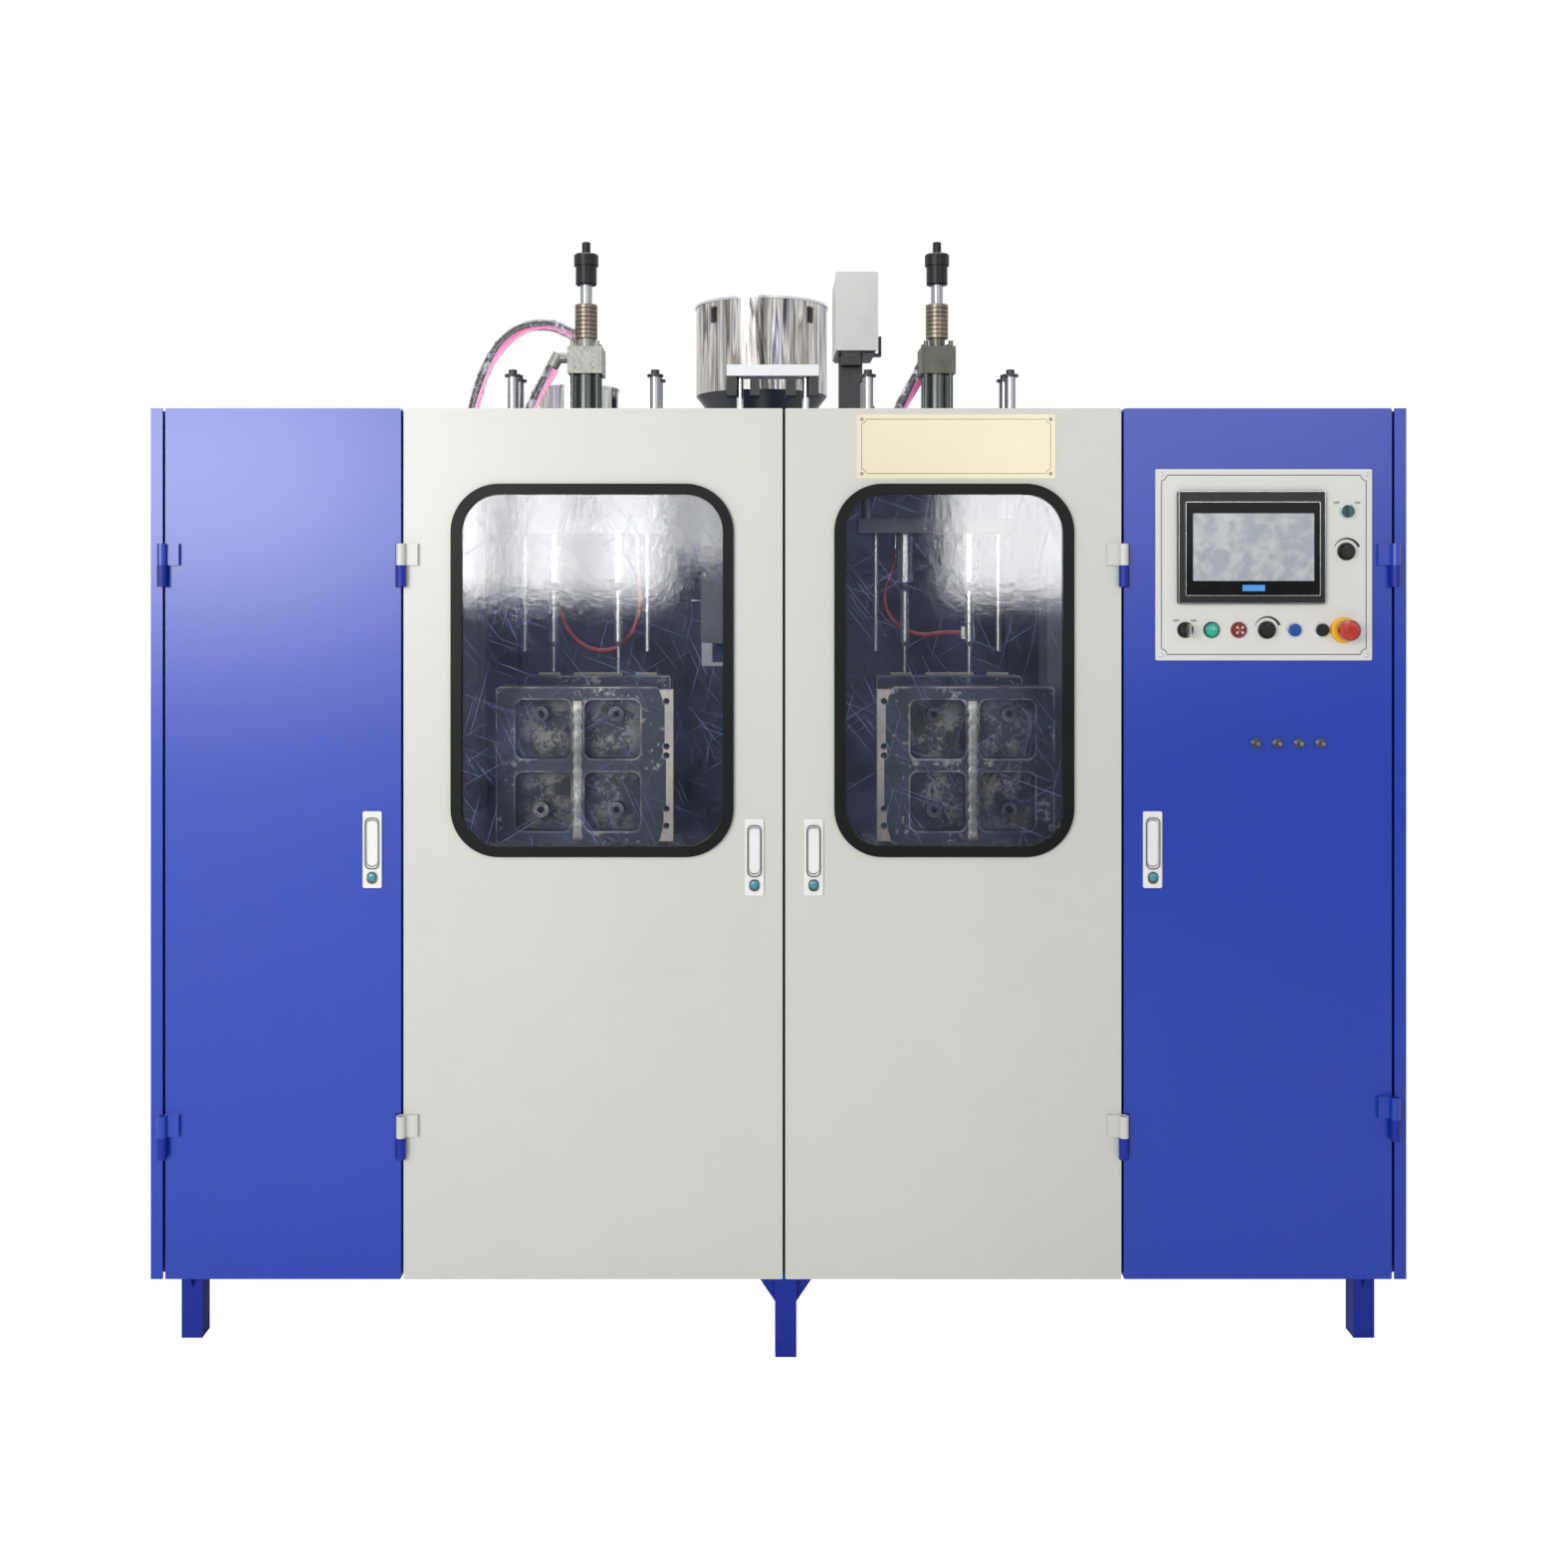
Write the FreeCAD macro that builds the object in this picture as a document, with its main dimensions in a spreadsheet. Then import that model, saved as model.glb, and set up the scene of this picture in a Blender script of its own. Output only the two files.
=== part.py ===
import FreeCAD, Part
import math
import os
import re
import Sketcher
from FreeCAD import Vector

# Two-station shuttle blow moulding machine in a sheet-metal cabinet.
# Frame: X to the right and Y to the back, seen from the operator's side, Z up from the floor.
# The origin is the middle of the floor rectangle that the machine covers.  Millimetres.

doc = FreeCAD.newDocument("blow_moulding_machine")
sheet = doc.addObject("Spreadsheet::Sheet", "Sizes")

SIZES = {
    # cabinet and doors
    "cabinet_width": 2334, "door_front_y": -1002, "door_bottom": 160, "door_tall": 1619,
    "door_depth": 26, "door_skin": 2, "door_gap": 5, "post_flange": 22,
    "left_split": -699.5, "centre_split": 10, "right_split": 639.5, "cabinet_depth": 1250,
    "panel_sheet": 3, "sheet_room": 12, "notch_room": 2, "tube": 40, "gusset_wide": 40,
    "gusset_tall": 65, "door_clear": 4, "leg_inset": 38, "outer_leg_back": 60,
    # windows
    "left_window_shift": -1.25, "right_window_shift": 1.25, "left_window_wide": 505,
    "right_window_wide": 425, "window_tall": 673, "window_drop": 487, "window_corner": 80,
    "seal_lap": 10, "seal_proud": 7, "pane_thick": 5, "pane_grip": 6, "seal_fit": 0.3,
    # hinges
    "hinge_dia": 18, "hinge_half": 40, "hinge_low": 427, "hinge_high": 1487, "pin_dia": 9,
    "pin_play": 0.05, "hinge_leaf": 4, "leaf_wide": 30, "leaf_set": 2, "hinge_stand": 0.5,
    "right_hinge_low": 461, "relief_room": 3.5, "relief_end": 1,
    # latches
    "latch_wide": 35, "latch_tall": 142, "latch_mid": 945, "latch_proud": 4, "latch_set": 55,
    "lever_wide": 21, "lever_tall": 84, "lever_thick": 7, "lever_clear": 0.5, "lever_end": 2,
    "lever_pin_dia": 3, "lever_pin_set": 4,
    "blue_latch_mid": 959, "recess_deep": 14, "recess_lift": 12, "tray_wall": 2,
    "lock_dia": 16, "lock_proud": 3, "lock_drop": 50,
    # core of the machine
    "core_x": -31.5, "station_pitch": 374, "mould_y": -582, "bed_top": 780, "bed_thick": 60,
    "rail_wide": 34, "rail_tall": 30, "rail_pitch": 400,
    "left_rest": 366, "right_rest": 420,
    # mould carriage and platens
    "rail_clear": 0.3, "deck_wide": 352, "deck_thick": 35, "deck_front": 280, "deck_back": 470,
    "guide_bar_dia": 40, "guide_bar_x": 110, "guide_bar_z": 890, "guide_block": 40,
    "foot_low": 862, "foot_half": 150, "face_open": 158, "tower_set": 430, "tower_thick": 40,
    "tower_high": 1190, "clamp_z": 1090, "clamp_dia": 120, "clamp_long": 170,
    "clamp_rod_dia": 45, "rod_tail": 110, "platen_wide": 326, "platen_low": 935, "platen_tall": 313,
    "platen_thick": 62, "platen_skin": 18, "bar_wide": 27, "bar_tall": 301, "bar_thick": 30,
    "slide_play": 0.05,
    "pocket_wide": 111, "pocket_tall": 118, "pocket_pitch_x": 138, "pocket_pitch_z": 144,
    "pocket_corner": 16, "boss_dia": 30, "boss_hole": 15,
    "boss_dx": 75, "boss_dz": 95.5, "boss_rise": 5.5, "chute_wide": 240,
    # blow bridge and blow units
    "bridge_drop": 89, "bridge_thick": 36, "bridge_deep": 260, "pillar": 50,
    "blow_cyl_dia": 50, "blow_block_rise": 119.6, "blow_block_tall": 57, "blow_block_wide": 72,
    "blow_block_deep": 88, "blow_block_front": 34, "blow_foot_tall": 22, "tie_set": 26,
    "tie_dia": 10,
    "rod_dia": 25, "rod_play": 0.05, "boss_low_dia": 34, "boss_low_tall": 19.4,
    "washer_dia": 47.5, "washer_tall": 9.1, "washer_count": 8, "blow_stroke": 42,
    "cap_dia": 45, "cap_collar_dia": 52, "cap_tall": 66, "stub_dia": 18, "stub_tall": 26,
    "guide_dia": 22, "guide_dx": 150, "guide_dy": 40, "guide_rise": 111, "guide_play": 0.05,
    "crosshead_drop": 130, "crosshead_thick": 30, "crosshead_wide": 340, "crosshead_deep": 130,
    "pin_dx": 69, "sleeve_dia": 37, "sleeve_drop": 103, "nut_dia": 46, "nut_tall": 18,
    "pin_body_dia": 19.5, "pin_body_drop": 229, "pin_tip_dia": 8.3, "pin_tip_drop": 298,
    "stay_dia": 12, "stay_dx": 131, "stay_drop": 250,
    # extruder and die head
    "barrel_drop": 159, "barrel_dia": 110, "die_deep": 150, "die_wide": 290, "die_drop": 290,
    "die_tall": 350, "die_bush_dia": 96, "die_bush_tall": 36, "die_dx": 69, "die_shift": 18,
    "band_dia": 168, "band_wide": 120, "band_end_room": 101, "band_count": 5,
    "stand_deep": 712, "barrel_rest_y": -272, "bearer_drop": 10,
    "feed_set": 362, "feed_wide": 180, "feed_tall": 150, "gear_deep": 210, "gear_wide": 330,
    "gear_tall": 420, "motor_dia": 250, "motor_length": 360, "motor_z": 1165,
    "guard_deep": 80, "guard_wide": 290, "guard_corner": 120, "shaft_dia": 48,
    # hopper, lift beam and junction box
    "hopper_dia": 379, "cone_tall": 192, "drum_tall": 260, "throat_rise": 186,
    "hopper_neck_dia": 76, "hopper_wall": 2, "rim_dia": 7, "beam_wide": 215, "beam_tall": 26,
    "beam_deep": 60, "beam_rise": 160, "lift_post_dia": 15, "lift_post_dx": 77,
    "lift_y": -252, "block_tall": 45, "box_wide": 95, "box_tall": 178, "box_deep": 200,
    "box_rise": 218, "box_x": 189, "box_y": -302, "side_hopper_dia": 210,
    "side_hopper_x": -520, "side_hopper_tall": 175, "side_hopper_rise": 21,
    # control panel
    "control_shift": 10, "control_drop": 291, "control_wide": 402, "control_tall": 355,
    "control_thick": 3, "hmi_wide": 274, "hmi_tall": 210, "hmi_proud": 9, "hmi_dx": -24.4,
    "hmi_dz": 32, "bezel_dia": 30, "bezel_proud": 5, "row_drop": 121, "cap_head_dia": 24,
    "button_travel": 4, "estop_dia": 40, "estop_collar_dia": 48, "stem_dia": 10.6,
    "stem_base_dia": 18.5, "stem_drop": 331.5, "knob_dia": 33,
    "selector_dx": 154.4, "selector_dz": 99, "speed_dx": 152.7, "speed_dz": 24.6,
    "key_dx": -146, "lamp_dx": -97.3, "buzzer_dx": -46.8, "cutter_dx": 5.4, "reset_dx": 55.5,
    "run_dx": 106.8, "estop_dx": 146.4, "stem_dx": -14.6, "stem_pitch": 40.1,
    "estop_proud": 45, "button_fit": 0.3,
    "name_wide": 369, "name_margin": 31.5, "name_x": 330, "name_shift": 4.25,
    # power side
    "tank_shift": 18.25, "tank_room": 47.5, "tank_deep": 560, "tank_tall": 420, "pump_dia": 210,
    "pump_foot": 14, "pump_bell": 90, "pump_body": 360, "pump_tall": 415,
    "manifold_wide": 180, "manifold_deep": 130, "manifold_tall": 110, "manifold_set": 150,
    "valve_pitch": 55, "valve_tall": 50, "filler_dia": 60, "filler_shift": 130,
    "plate_set": 702, "plate_headroom": 379, "device_columns": 4, "device_left": 30,
    "device_right": 78.5, "device_gap": 16, "drive_low": 120, "drive_tall": 190,
    "drive_deep": 130, "relay_low": 400, "relay_tall": 90, "relay_deep": 80, "timer_low": 580,
    "timer_tall": 90, "timer_deep": 80, "breaker_low": 760, "breaker_tall": 150,
    "breaker_deep": 110, "terminal_low": 1000, "terminal_tall": 80, "terminal_deep": 70,
    # hoses
    "hose_dia": 22, "air_hose_dia": 10, "union_dia": 26, "union_drop": 14, "gland_dia": 16,
}

# places and sizes that follow from the ones above
FOLLOWS = {
    "top_z": "door_bottom + door_tall",
    "back_y": "door_front_y + cabinet_depth",
    "outer_leg_x": "cabinet_width / 2 - leg_inset",
    "outer_hinge_x": "cabinet_width / 2 - post_flange - door_gap / 2",
    "left_window_x": "(left_split + centre_split) / 2 + left_window_shift",
    "right_window_x": "(centre_split + right_split) / 2 + right_window_shift",
    "window_mid": "top_z - window_drop",
    "window_top": "window_mid + window_tall / 2",
    "name_tall": "top_z - window_top - name_margin",
    "name_z": "(window_top + top_z) / 2 + name_shift",
    "bridge_low": "top_z - bridge_drop",
    "crosshead_low": "bridge_low - crosshead_drop",
    "sleeve_low": "crosshead_low - sleeve_drop",
    "pin_body_low": "crosshead_low - pin_body_drop",
    "pin_tip_low": "crosshead_low - pin_tip_drop",
    "stay_low": "crosshead_low - stay_drop",
    "blow_block_low": "top_z + blow_block_rise",
    "guide_top": "top_z + guide_rise",
    "barrel_z": "top_z - barrel_drop",
    "die_low": "barrel_z - die_drop",
    "stand_back": "back_y + stand_deep",
    "feed_y": "stand_back - feed_set",
    "hopper_throat": "barrel_z + throat_rise",
    "hopper_low": "hopper_throat + cone_tall",
    "hopper_high": "hopper_low + drum_tall",
    "beam_low": "top_z + beam_rise",
    "box_low": "top_z + box_rise",
    "side_hopper_y": "back_y",
    "side_hopper_low": "top_z + side_hopper_rise",
    "side_hopper_high": "side_hopper_low + side_hopper_tall",
    "control_x": "(right_split + outer_hinge_x) / 2 + control_shift",
    "control_z": "top_z - control_drop",
    "hmi_x": "control_x + hmi_dx",
    "hmi_z": "control_z + hmi_dz",
    "row_z": "control_z - row_drop",
    "stem_z": "control_z - stem_drop",
    "stem_first": "control_x + stem_dx",
    "selector_x": "control_x + selector_dx",
    "selector_z": "control_z + selector_dz",
    "speed_x": "control_x + speed_dx",
    "speed_z": "control_z + speed_dz",
    "tank_x": "(left_split - cabinet_width / 2) / 2 + tank_shift",
    "tank_wide": "cabinet_width / 2 + left_split - tank_room",
}
for switch in ("key", "lamp", "buzzer", "cutter", "reset", "run", "estop"):
    FOLLOWS[f"{switch}_x"] = f"control_x + {switch}_dx"

for row, (alias, number) in enumerate(SIZES.items(), start=1):
    sheet.set(f"A{row}", alias)
    sheet.set(f"B{row}", str(number))
    sheet.setAlias(f"B{row}", alias)
doc.recompute()


def size(alias):
    """The present value of a cell, for what a loop or a formula needs."""
    return float(getattr(sheet, alias))


NAMES = re.compile(r"[A-Za-z_]\w*")


def spelled_out(word):
    """A name in a rule as the sheet knows it, or as the rule that it stands for."""
    name = word.group(0)
    if name in FOLLOWS:
        return "(" + NAMES.sub(spelled_out, FOLLOWS[name]) + ")"
    return "Sizes." + name if name in SIZES else name


def bind(feature, prop, rule):
    """Tie one property to a rule written with the sheet's names."""
    feature.setExpression(prop, NAMES.sub(spelled_out, str(rule)))


def box(name, x, y, z, wide, deep, tall):
    """A block from its low corner and its three sizes."""
    block = doc.addObject("Part::Box", name)
    for prop, rule in zip(("Length", "Width", "Height"), (wide, deep, tall)):
        bind(block, prop, rule)
    for axis, rule in zip("xyz", (x, y, z)):
        bind(block, f"Placement.Base.{axis}", rule)
    return block


AXES = {
    "x": FreeCAD.Rotation(Vector(0, 1, 0), 90),
    "y": FreeCAD.Rotation(Vector(1, 0, 0), -90),
    "z": FreeCAD.Rotation(),
}


def round_bar(name, axis, x, y, z, dia, long):
    """A cylinder that starts at a point and runs along +X, +Y or +Z."""
    bar = doc.addObject("Part::Cylinder", name)
    bar.Placement.Rotation = AXES[axis]
    bind(bar, "Radius", f"({dia}) / 2")
    bind(bar, "Height", long)
    for letter, rule in zip("xyz", (x, y, z)):
        bind(bar, f"Placement.Base.{letter}", rule)
    return bar


def fuse(name, *pieces):
    whole = doc.addObject("Part::MultiFuse", name)
    whole.Shapes = list(pieces)
    whole.Refine = True
    return whole


def cut(name, base, *tools):
    result = doc.addObject("Part::Cut", name)
    result.Base = base
    result.Tool = tools[0] if len(tools) == 1 else fuse(name + "_tools", *tools)
    return result


def group(name, *pieces):
    """Separate solids that share one node."""
    together = doc.addObject("Part::Compound", name)
    together.Links = list(pieces)
    return together


def rank(bar):
    """Uprights are set up first, then the bars across, then those along, then the fittings."""
    if bar.TypeId != "Part::Box" or not bar.Name.startswith("rail_"):
        return 3
    extent = bar.Shape.BoundBox
    lengths = (extent.ZLength, extent.XLength, extent.YLength)
    return lengths.index(max(lengths))


def welded(name, *bars):
    """A welded frame: each bar butts against the ones set up before it."""
    doc.recompute()
    placed, butted = [], []
    for bar in sorted(bars, key=rank):
        met = [other for other in placed
               if bar.Shape.BoundBox.intersect(other.Shape.BoundBox)
               and bar.Shape.common(other.Shape).Volume > 0.01]
        butted.append(cut(f"{bar.Name}_butted", bar, *met) if met else bar)
        placed.append(bar)
    return group(name, *butted)


def origin_plane(body, role):
    return next(item for item in body.Origin.OriginFeatures if item.Role == role)


def outline(body, name, plane, corners, support=None):
    """A closed sketch of straight sides whose corners follow the sheet."""
    sketch = body.newObject("Sketcher::SketchObject", name)
    sketch.AttachmentSupport = (origin_plane(body, plane), [""])
    sketch.MapMode = "FlatFace"
    count = len(corners)
    for index in range(count):
        start = Vector(index, index * index, 0)
        after = (index + 1) % count
        sketch.addGeometry(Part.LineSegment(start, Vector(after, after * after, 0)))
    for index in range(count):
        sketch.addConstraint(Sketcher.Constraint("Coincident", index, 2, (index + 1) % count, 1))
    for index, (across, up) in enumerate(corners):
        for kind, rule in (("DistanceX", across), ("DistanceY", up)):
            number = sketch.addConstraint(Sketcher.Constraint(kind, -1, 1, index, 1, 1.0))
            bind(sketch, f"Constraints[{number}]", rule)
    return sketch


def slab(name, x, y, z, wide, tall, thick, corner):
    """A rounded plate facing the operator: middle of its front face, its sizes, its corners."""
    body = doc.addObject("PartDesign::Body", name)
    half, rise = f"({wide}) / 2", f"({tall}) / 2"
    face = outline(body, name + "_face", "XZ_Plane", (
        (f"-{half}", f"-{rise}"), (half, f"-{rise}"), (half, rise), (f"-{half}", rise)))
    pad = body.newObject("PartDesign::Pad", name + "_pad")
    pad.Profile = face
    pad.Reversed = True
    bind(pad, "Length", thick)
    doc.recompute()
    upright = [f"Edge{number}" for number, edge in enumerate(pad.Shape.Edges, start=1)
               if abs(edge.tangentAt(edge.FirstParameter).y) > 0.9]
    rounding = body.newObject("PartDesign::Fillet", name + "_corners")
    rounding.Base = (pad, upright)
    bind(rounding, "Radius", corner)
    for letter, rule in zip("xyz", (x, y, z)):
        bind(body, f"Placement.Base.{letter}", rule)
    return body


def padded(name, plane, corners, x, y, z, thick, away=False):
    """A plate cut to an outline: the sketch plane, its corners, where it sits, how thick."""
    body = doc.addObject("PartDesign::Body", name)
    pad = body.newObject("PartDesign::Pad", name + "_pad")
    pad.Profile = outline(body, name + "_outline", plane, corners)
    pad.Reversed = away
    bind(pad, "Length", thick)
    for letter, rule in zip("xyz", (x, y, z)):
        bind(body, f"Placement.Base.{letter}", rule)
    return body


TO_FRONT = FreeCAD.Rotation(Vector(1, 0, 0), 90)


def turned(name, corners, x, y, z, lean=None):
    """A piece turned about a vertical axis, or one that leans, from (radius, height) corners."""
    body = doc.addObject("PartDesign::Body", name)
    profile = outline(body, name + "_profile", "XZ_Plane", corners)
    spin = body.newObject("PartDesign::Revolution", name + "_turn")
    spin.Profile = profile
    spin.ReferenceAxis = (profile, ["V_Axis"])
    spin.Angle = 360
    if lean:
        body.Placement.Rotation = lean
    for letter, rule in zip("xyz", (x, y, z)):
        bind(body, f"Placement.Base.{letter}", rule)
    return body


def angled_bar(name, x, y, z, direction, dia, long):
    """A cylinder that starts at a point and leans along a direction."""
    bar = round_bar(name, "z", x, y, z, dia, long)
    bar.Placement.Rotation = FreeCAD.Rotation(Vector(0, 0, 1), Vector(*direction))
    return bar


def hose(name, dia, points):
    """A tube whose straight runs are joined by arcs as large as the two runs allow."""
    corners = [Vector(*point) for point in points]
    edges, start, tightest = [], corners[0], None
    for before, corner, after in zip(corners, corners[1:], corners[2:]):
        inward, outward = (corner - before), (after - corner)
        shorter = min(inward.Length, outward.Length)
        half_turn = inward.getAngle(outward) / 2
        reach = 0.45 * shorter
        radius = reach / math.tan(half_turn)
        tightest = radius if tightest is None else min(tightest, radius)
        entry = corner - inward.normalize() * reach
        leave = corner + outward.normalize() * reach
        middle_dir = ((entry + leave) / 2 - corner).normalize()
        middle = corner + middle_dir * (radius / math.cos(half_turn) - radius)
        edges.append(Part.LineSegment(start, entry).toShape())
        edges.append(Part.Arc(entry, middle, leave).toShape())
        start = leave
    edges.append(Part.LineSegment(start, corners[-1]).toShape())
    path = Part.Wire(edges)
    first = (corners[1] - corners[0]).normalize()
    ring = Part.Wire([Part.Circle(corners[0], first, dia / 2).toShape()])
    tube = path.makePipeShell([ring], True, False)
    section = math.pi * dia * dia / 4
    print(f"{name}: length {path.Length:.0f} mm, tightest radius {tightest:.0f} mm, "
          f"volume over section x length {tube.Volume / (section * path.Length):.4f}")
    feature = doc.addObject("Part::Feature", name)
    feature.Shape = tube
    return feature


nodes = []


def node(name, feature):
    """Name a finished sub-part, which is what its file is called."""
    feature.Label = name
    nodes.append(feature)
    return feature


# ---------------------------------------------------------------- frame, panels and bed
HINGE_Y = "door_front_y - hinge_stand - hinge_dia / 2"
POST_Y = "door_front_y + door_depth + door_clear"
INNER_X = "cabinet_width / 2 - panel_sheet"


def hinge_frame_half(name, x, z):
    """The lower barrel with its pin, on a leaf that comes forward between the doors."""
    barrel = round_bar(name + "_barrel", "z", x, HINGE_Y, f"({z}) - hinge_half", "hinge_dia",
                       "hinge_half - 0.3")
    pin = round_bar(name + "_pin", "z", x, HINGE_Y, f"({z}) - hinge_half / 2", "pin_dia",
                    "hinge_half / 2 + hinge_half * 0.8")
    leaf = box(name + "_leaf", f"({x}) - hinge_leaf / 2", HINGE_Y, f"({z}) - hinge_half",
               "hinge_leaf", f"({POST_Y}) - ({HINGE_Y}) + 1", "hinge_half - 0.3")
    return [barrel, pin, leaf]


def rail(name, x, y, z, wide, deep, tall):
    return box("rail_" + name, x, y, z, wide, deep, tall)


frame_pieces = []
for side, sign in (("left", -1), ("right", 1)):
    low_x = f"-({INNER_X})" if sign < 0 else "outer_leg_x - tube / 2"
    leg_x = f"{sign} * outer_leg_x - tube / 2"
    wide = f"({INNER_X}) - outer_leg_x + tube / 2"
    for place, y in (("front", POST_Y), ("back", "back_y - tube - panel_sheet")):
        frame_pieces.append(rail(f"{side}_{place}_post", low_x, y, "door_bottom", wide, "tube",
                                 "door_tall - 2"))
    for place, y in (("front", "door_front_y + outer_leg_back + tube * 1.1"),
                     ("back", "back_y - outer_leg_back - tube * 2")):
        frame_pieces.append(rail(f"{side}_{place}_leg", leg_x, y, "0", "tube", "tube",
                                 "door_bottom + tube / 2"))
        frame_pieces.append(padded(f"{side}_{place}_gusset", "YZ_Plane", (
            ("0.5", "0"), ("-gusset_wide", "gusset_tall - 5"), ("-gusset_wide", "gusset_tall"),
            ("0.5", "gusset_tall")),
            f"{sign} * outer_leg_x - 3", y, "door_bottom - gusset_tall + 1", "6"))
    for place, z in (("low", "door_bottom"), ("top", "top_z - 2 - tube")):
        frame_pieces.append(rail(f"{side}_{place}_side", low_x, POST_Y, z, wide,
                                 f"back_y - panel_sheet - ({POST_Y})", "tube"))

for place, z in (("low", "door_bottom"), ("top", "top_z - 2 - tube")):
    for where, y in (("front", POST_Y), ("back", "back_y - tube - panel_sheet")):
        frame_pieces.append(rail(f"{place}_{where}", f"-({INNER_X})", y, z,
                                 f"2 * ({INNER_X})", "tube", "tube"))
    for split in ("left_split", "right_split"):
        frame_pieces.append(rail(f"{place}_{split}_tie", f"{split} - tube / 2", POST_Y, z, "tube",
                                 f"back_y - panel_sheet - ({POST_Y})", "tube"))

for split in ("left_split", "centre_split", "right_split"):
    frame_pieces.append(rail(f"{split}_post", f"{split} - tube / 2", POST_Y, "door_bottom",
                             "tube", "tube", "door_tall - 2"))
for split in ("left_split", "right_split"):
    frame_pieces.append(rail(f"{split}_back_post", f"{split} - tube / 2",
                             "back_y - tube - panel_sheet", "door_bottom", "tube", "tube",
                             "door_tall - 2"))

for where, y in (("front", POST_Y), ("back", "back_y - tube - panel_sheet")):
    frame_pieces.append(rail(f"centre_leg_{where}", "centre_split + 4 - tube / 2", y, "0", "tube",
                             "tube", "door_bottom + tube / 2"))
    for side, sign in (("left", -1), ("right", 1)):
        foot = "tube / 2 - 0.5"
        frame_pieces.append(padded(f"centre_{where}_{side}_gusset", "XZ_Plane", (
            (f"{sign} * ({foot})", "0"), (f"{sign} * (tube / 2 + gusset_wide)", "gusset_tall - 5"),
            (f"{sign} * (tube / 2 + gusset_wide)", "gusset_tall"),
            (f"{sign} * ({foot})", "gusset_tall")),
            "centre_split + 4", f"({y}) + tube / 2 - 3", "door_bottom - gusset_tall + 1", "6",
            away=True))

HINGES = (
    ("left_outer", "-outer_hinge_x", ("hinge_low", "hinge_high")),
    ("left_beige", "left_split", ("hinge_low", "hinge_high")),
    ("right_beige", "right_split", ("hinge_low", "hinge_high")),
    ("right_outer", "outer_hinge_x", ("right_hinge_low", "hinge_high")),
)
for name, x, levels in HINGES:
    for level in levels:
        frame_pieces += hinge_frame_half(f"{name}_{level}", x, level)

# bearers under the bed, and the stand that carries the extruder behind the cabinet
BED_LOW = "bed_top - bed_thick"
for number, x in enumerate(("left_split - tube / 2", "right_split - tube / 2"), start=1):
    frame_pieces.append(rail(f"bed_bearer_{number}", x, POST_Y, f"{BED_LOW} - tube", "tube",
                             f"back_y - panel_sheet - ({POST_Y})", "tube"))
frame_pieces.append(rail("bed_front_bearer", "left_split", POST_Y, f"{BED_LOW} - tube",
                         "right_split - left_split", "tube", "tube"))
frame_pieces.append(rail("bed_back_bearer", "left_split", "back_y - tube - panel_sheet",
                         f"{BED_LOW} - tube", "right_split - left_split", "tube", "tube"))
for number, y in enumerate((f"{POST_Y} + tube * 2", "barrel_rest_y - tube * 2"), start=1):
    frame_pieces.append(rail(f"bed_cross_{number}", "left_split", y, f"{BED_LOW} - tube",
                             "right_split - left_split", "tube", "tube"))
STAND_TOP = "barrel_z - gear_tall / 2"
SHELF_LOW = "motor_z - motor_dia / 2 - 20 - tube"
for side, sign in (("left", -1), ("right", 1)):
    x = f"core_x + {sign} * gear_wide / 2 - tube / 2"
    frame_pieces.append(rail(f"stand_{side}_leg", x, "stand_back - tube", "0", "tube", "tube",
                             STAND_TOP))
    frame_pieces.append(rail(f"stand_{side}_top", x, "back_y - tube - panel_sheet",
                             f"{STAND_TOP} - tube", "tube",
                             "stand_back - (back_y - tube - panel_sheet)", "tube"))
    frame_pieces.append(rail(f"stand_{side}_front", x, "back_y - tube - panel_sheet",
                             "door_bottom", "tube", "tube", f"{STAND_TOP} - door_bottom"))
    frame_pieces.append(rail(f"stand_{side}_shelf", x, "back_y - tube - panel_sheet",
                             SHELF_LOW, "tube",
                             "stand_back - (back_y - tube - panel_sheet)", "tube"))
    frame_pieces.append(rail(f"stand_{side}_foot", x, "back_y - tube - panel_sheet",
                             "door_bottom", "tube",
                             "stand_back - (back_y - tube - panel_sheet)", "tube"))
frame_pieces.append(rail("stand_tie", "core_x - gear_wide / 2", "stand_back - tube",
                         f"{STAND_TOP} - tube", "gear_wide", "tube", "tube"))
BEARER_TOP = "barrel_z - band_dia / 2 - bearer_drop"
for name, z in (("barrel_bearer", f"{BEARER_TOP} - tube"), ("lift_bearer", "top_z - 2 - tube")):
    frame_pieces.append(rail(name, "left_split", "barrel_rest_y", z, "right_split - left_split",
                             "tube", "tube"))
for split in ("left_split", "right_split"):
    frame_pieces.append(rail(f"{split}_mid_post", f"{split} - tube / 2", "barrel_rest_y",
                             "door_bottom", "tube", "tube", "door_tall - 2"))
GEAR_Y = "feed_y + feed_wide / 2 + 30"
GUARD_Y = f"{GEAR_Y} + gear_deep + 32"
MOTOR_Y = f"{GUARD_Y} - 32 - motor_length"
frame_pieces.append(rail("motor_shelf", "core_x - gear_wide / 2", f"{MOTOR_Y} + 50",
                         SHELF_LOW, "gear_wide", "motor_length - 90",
                         "tube"))
node("base_frame", welded("base_frame", *frame_pieces))


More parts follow.
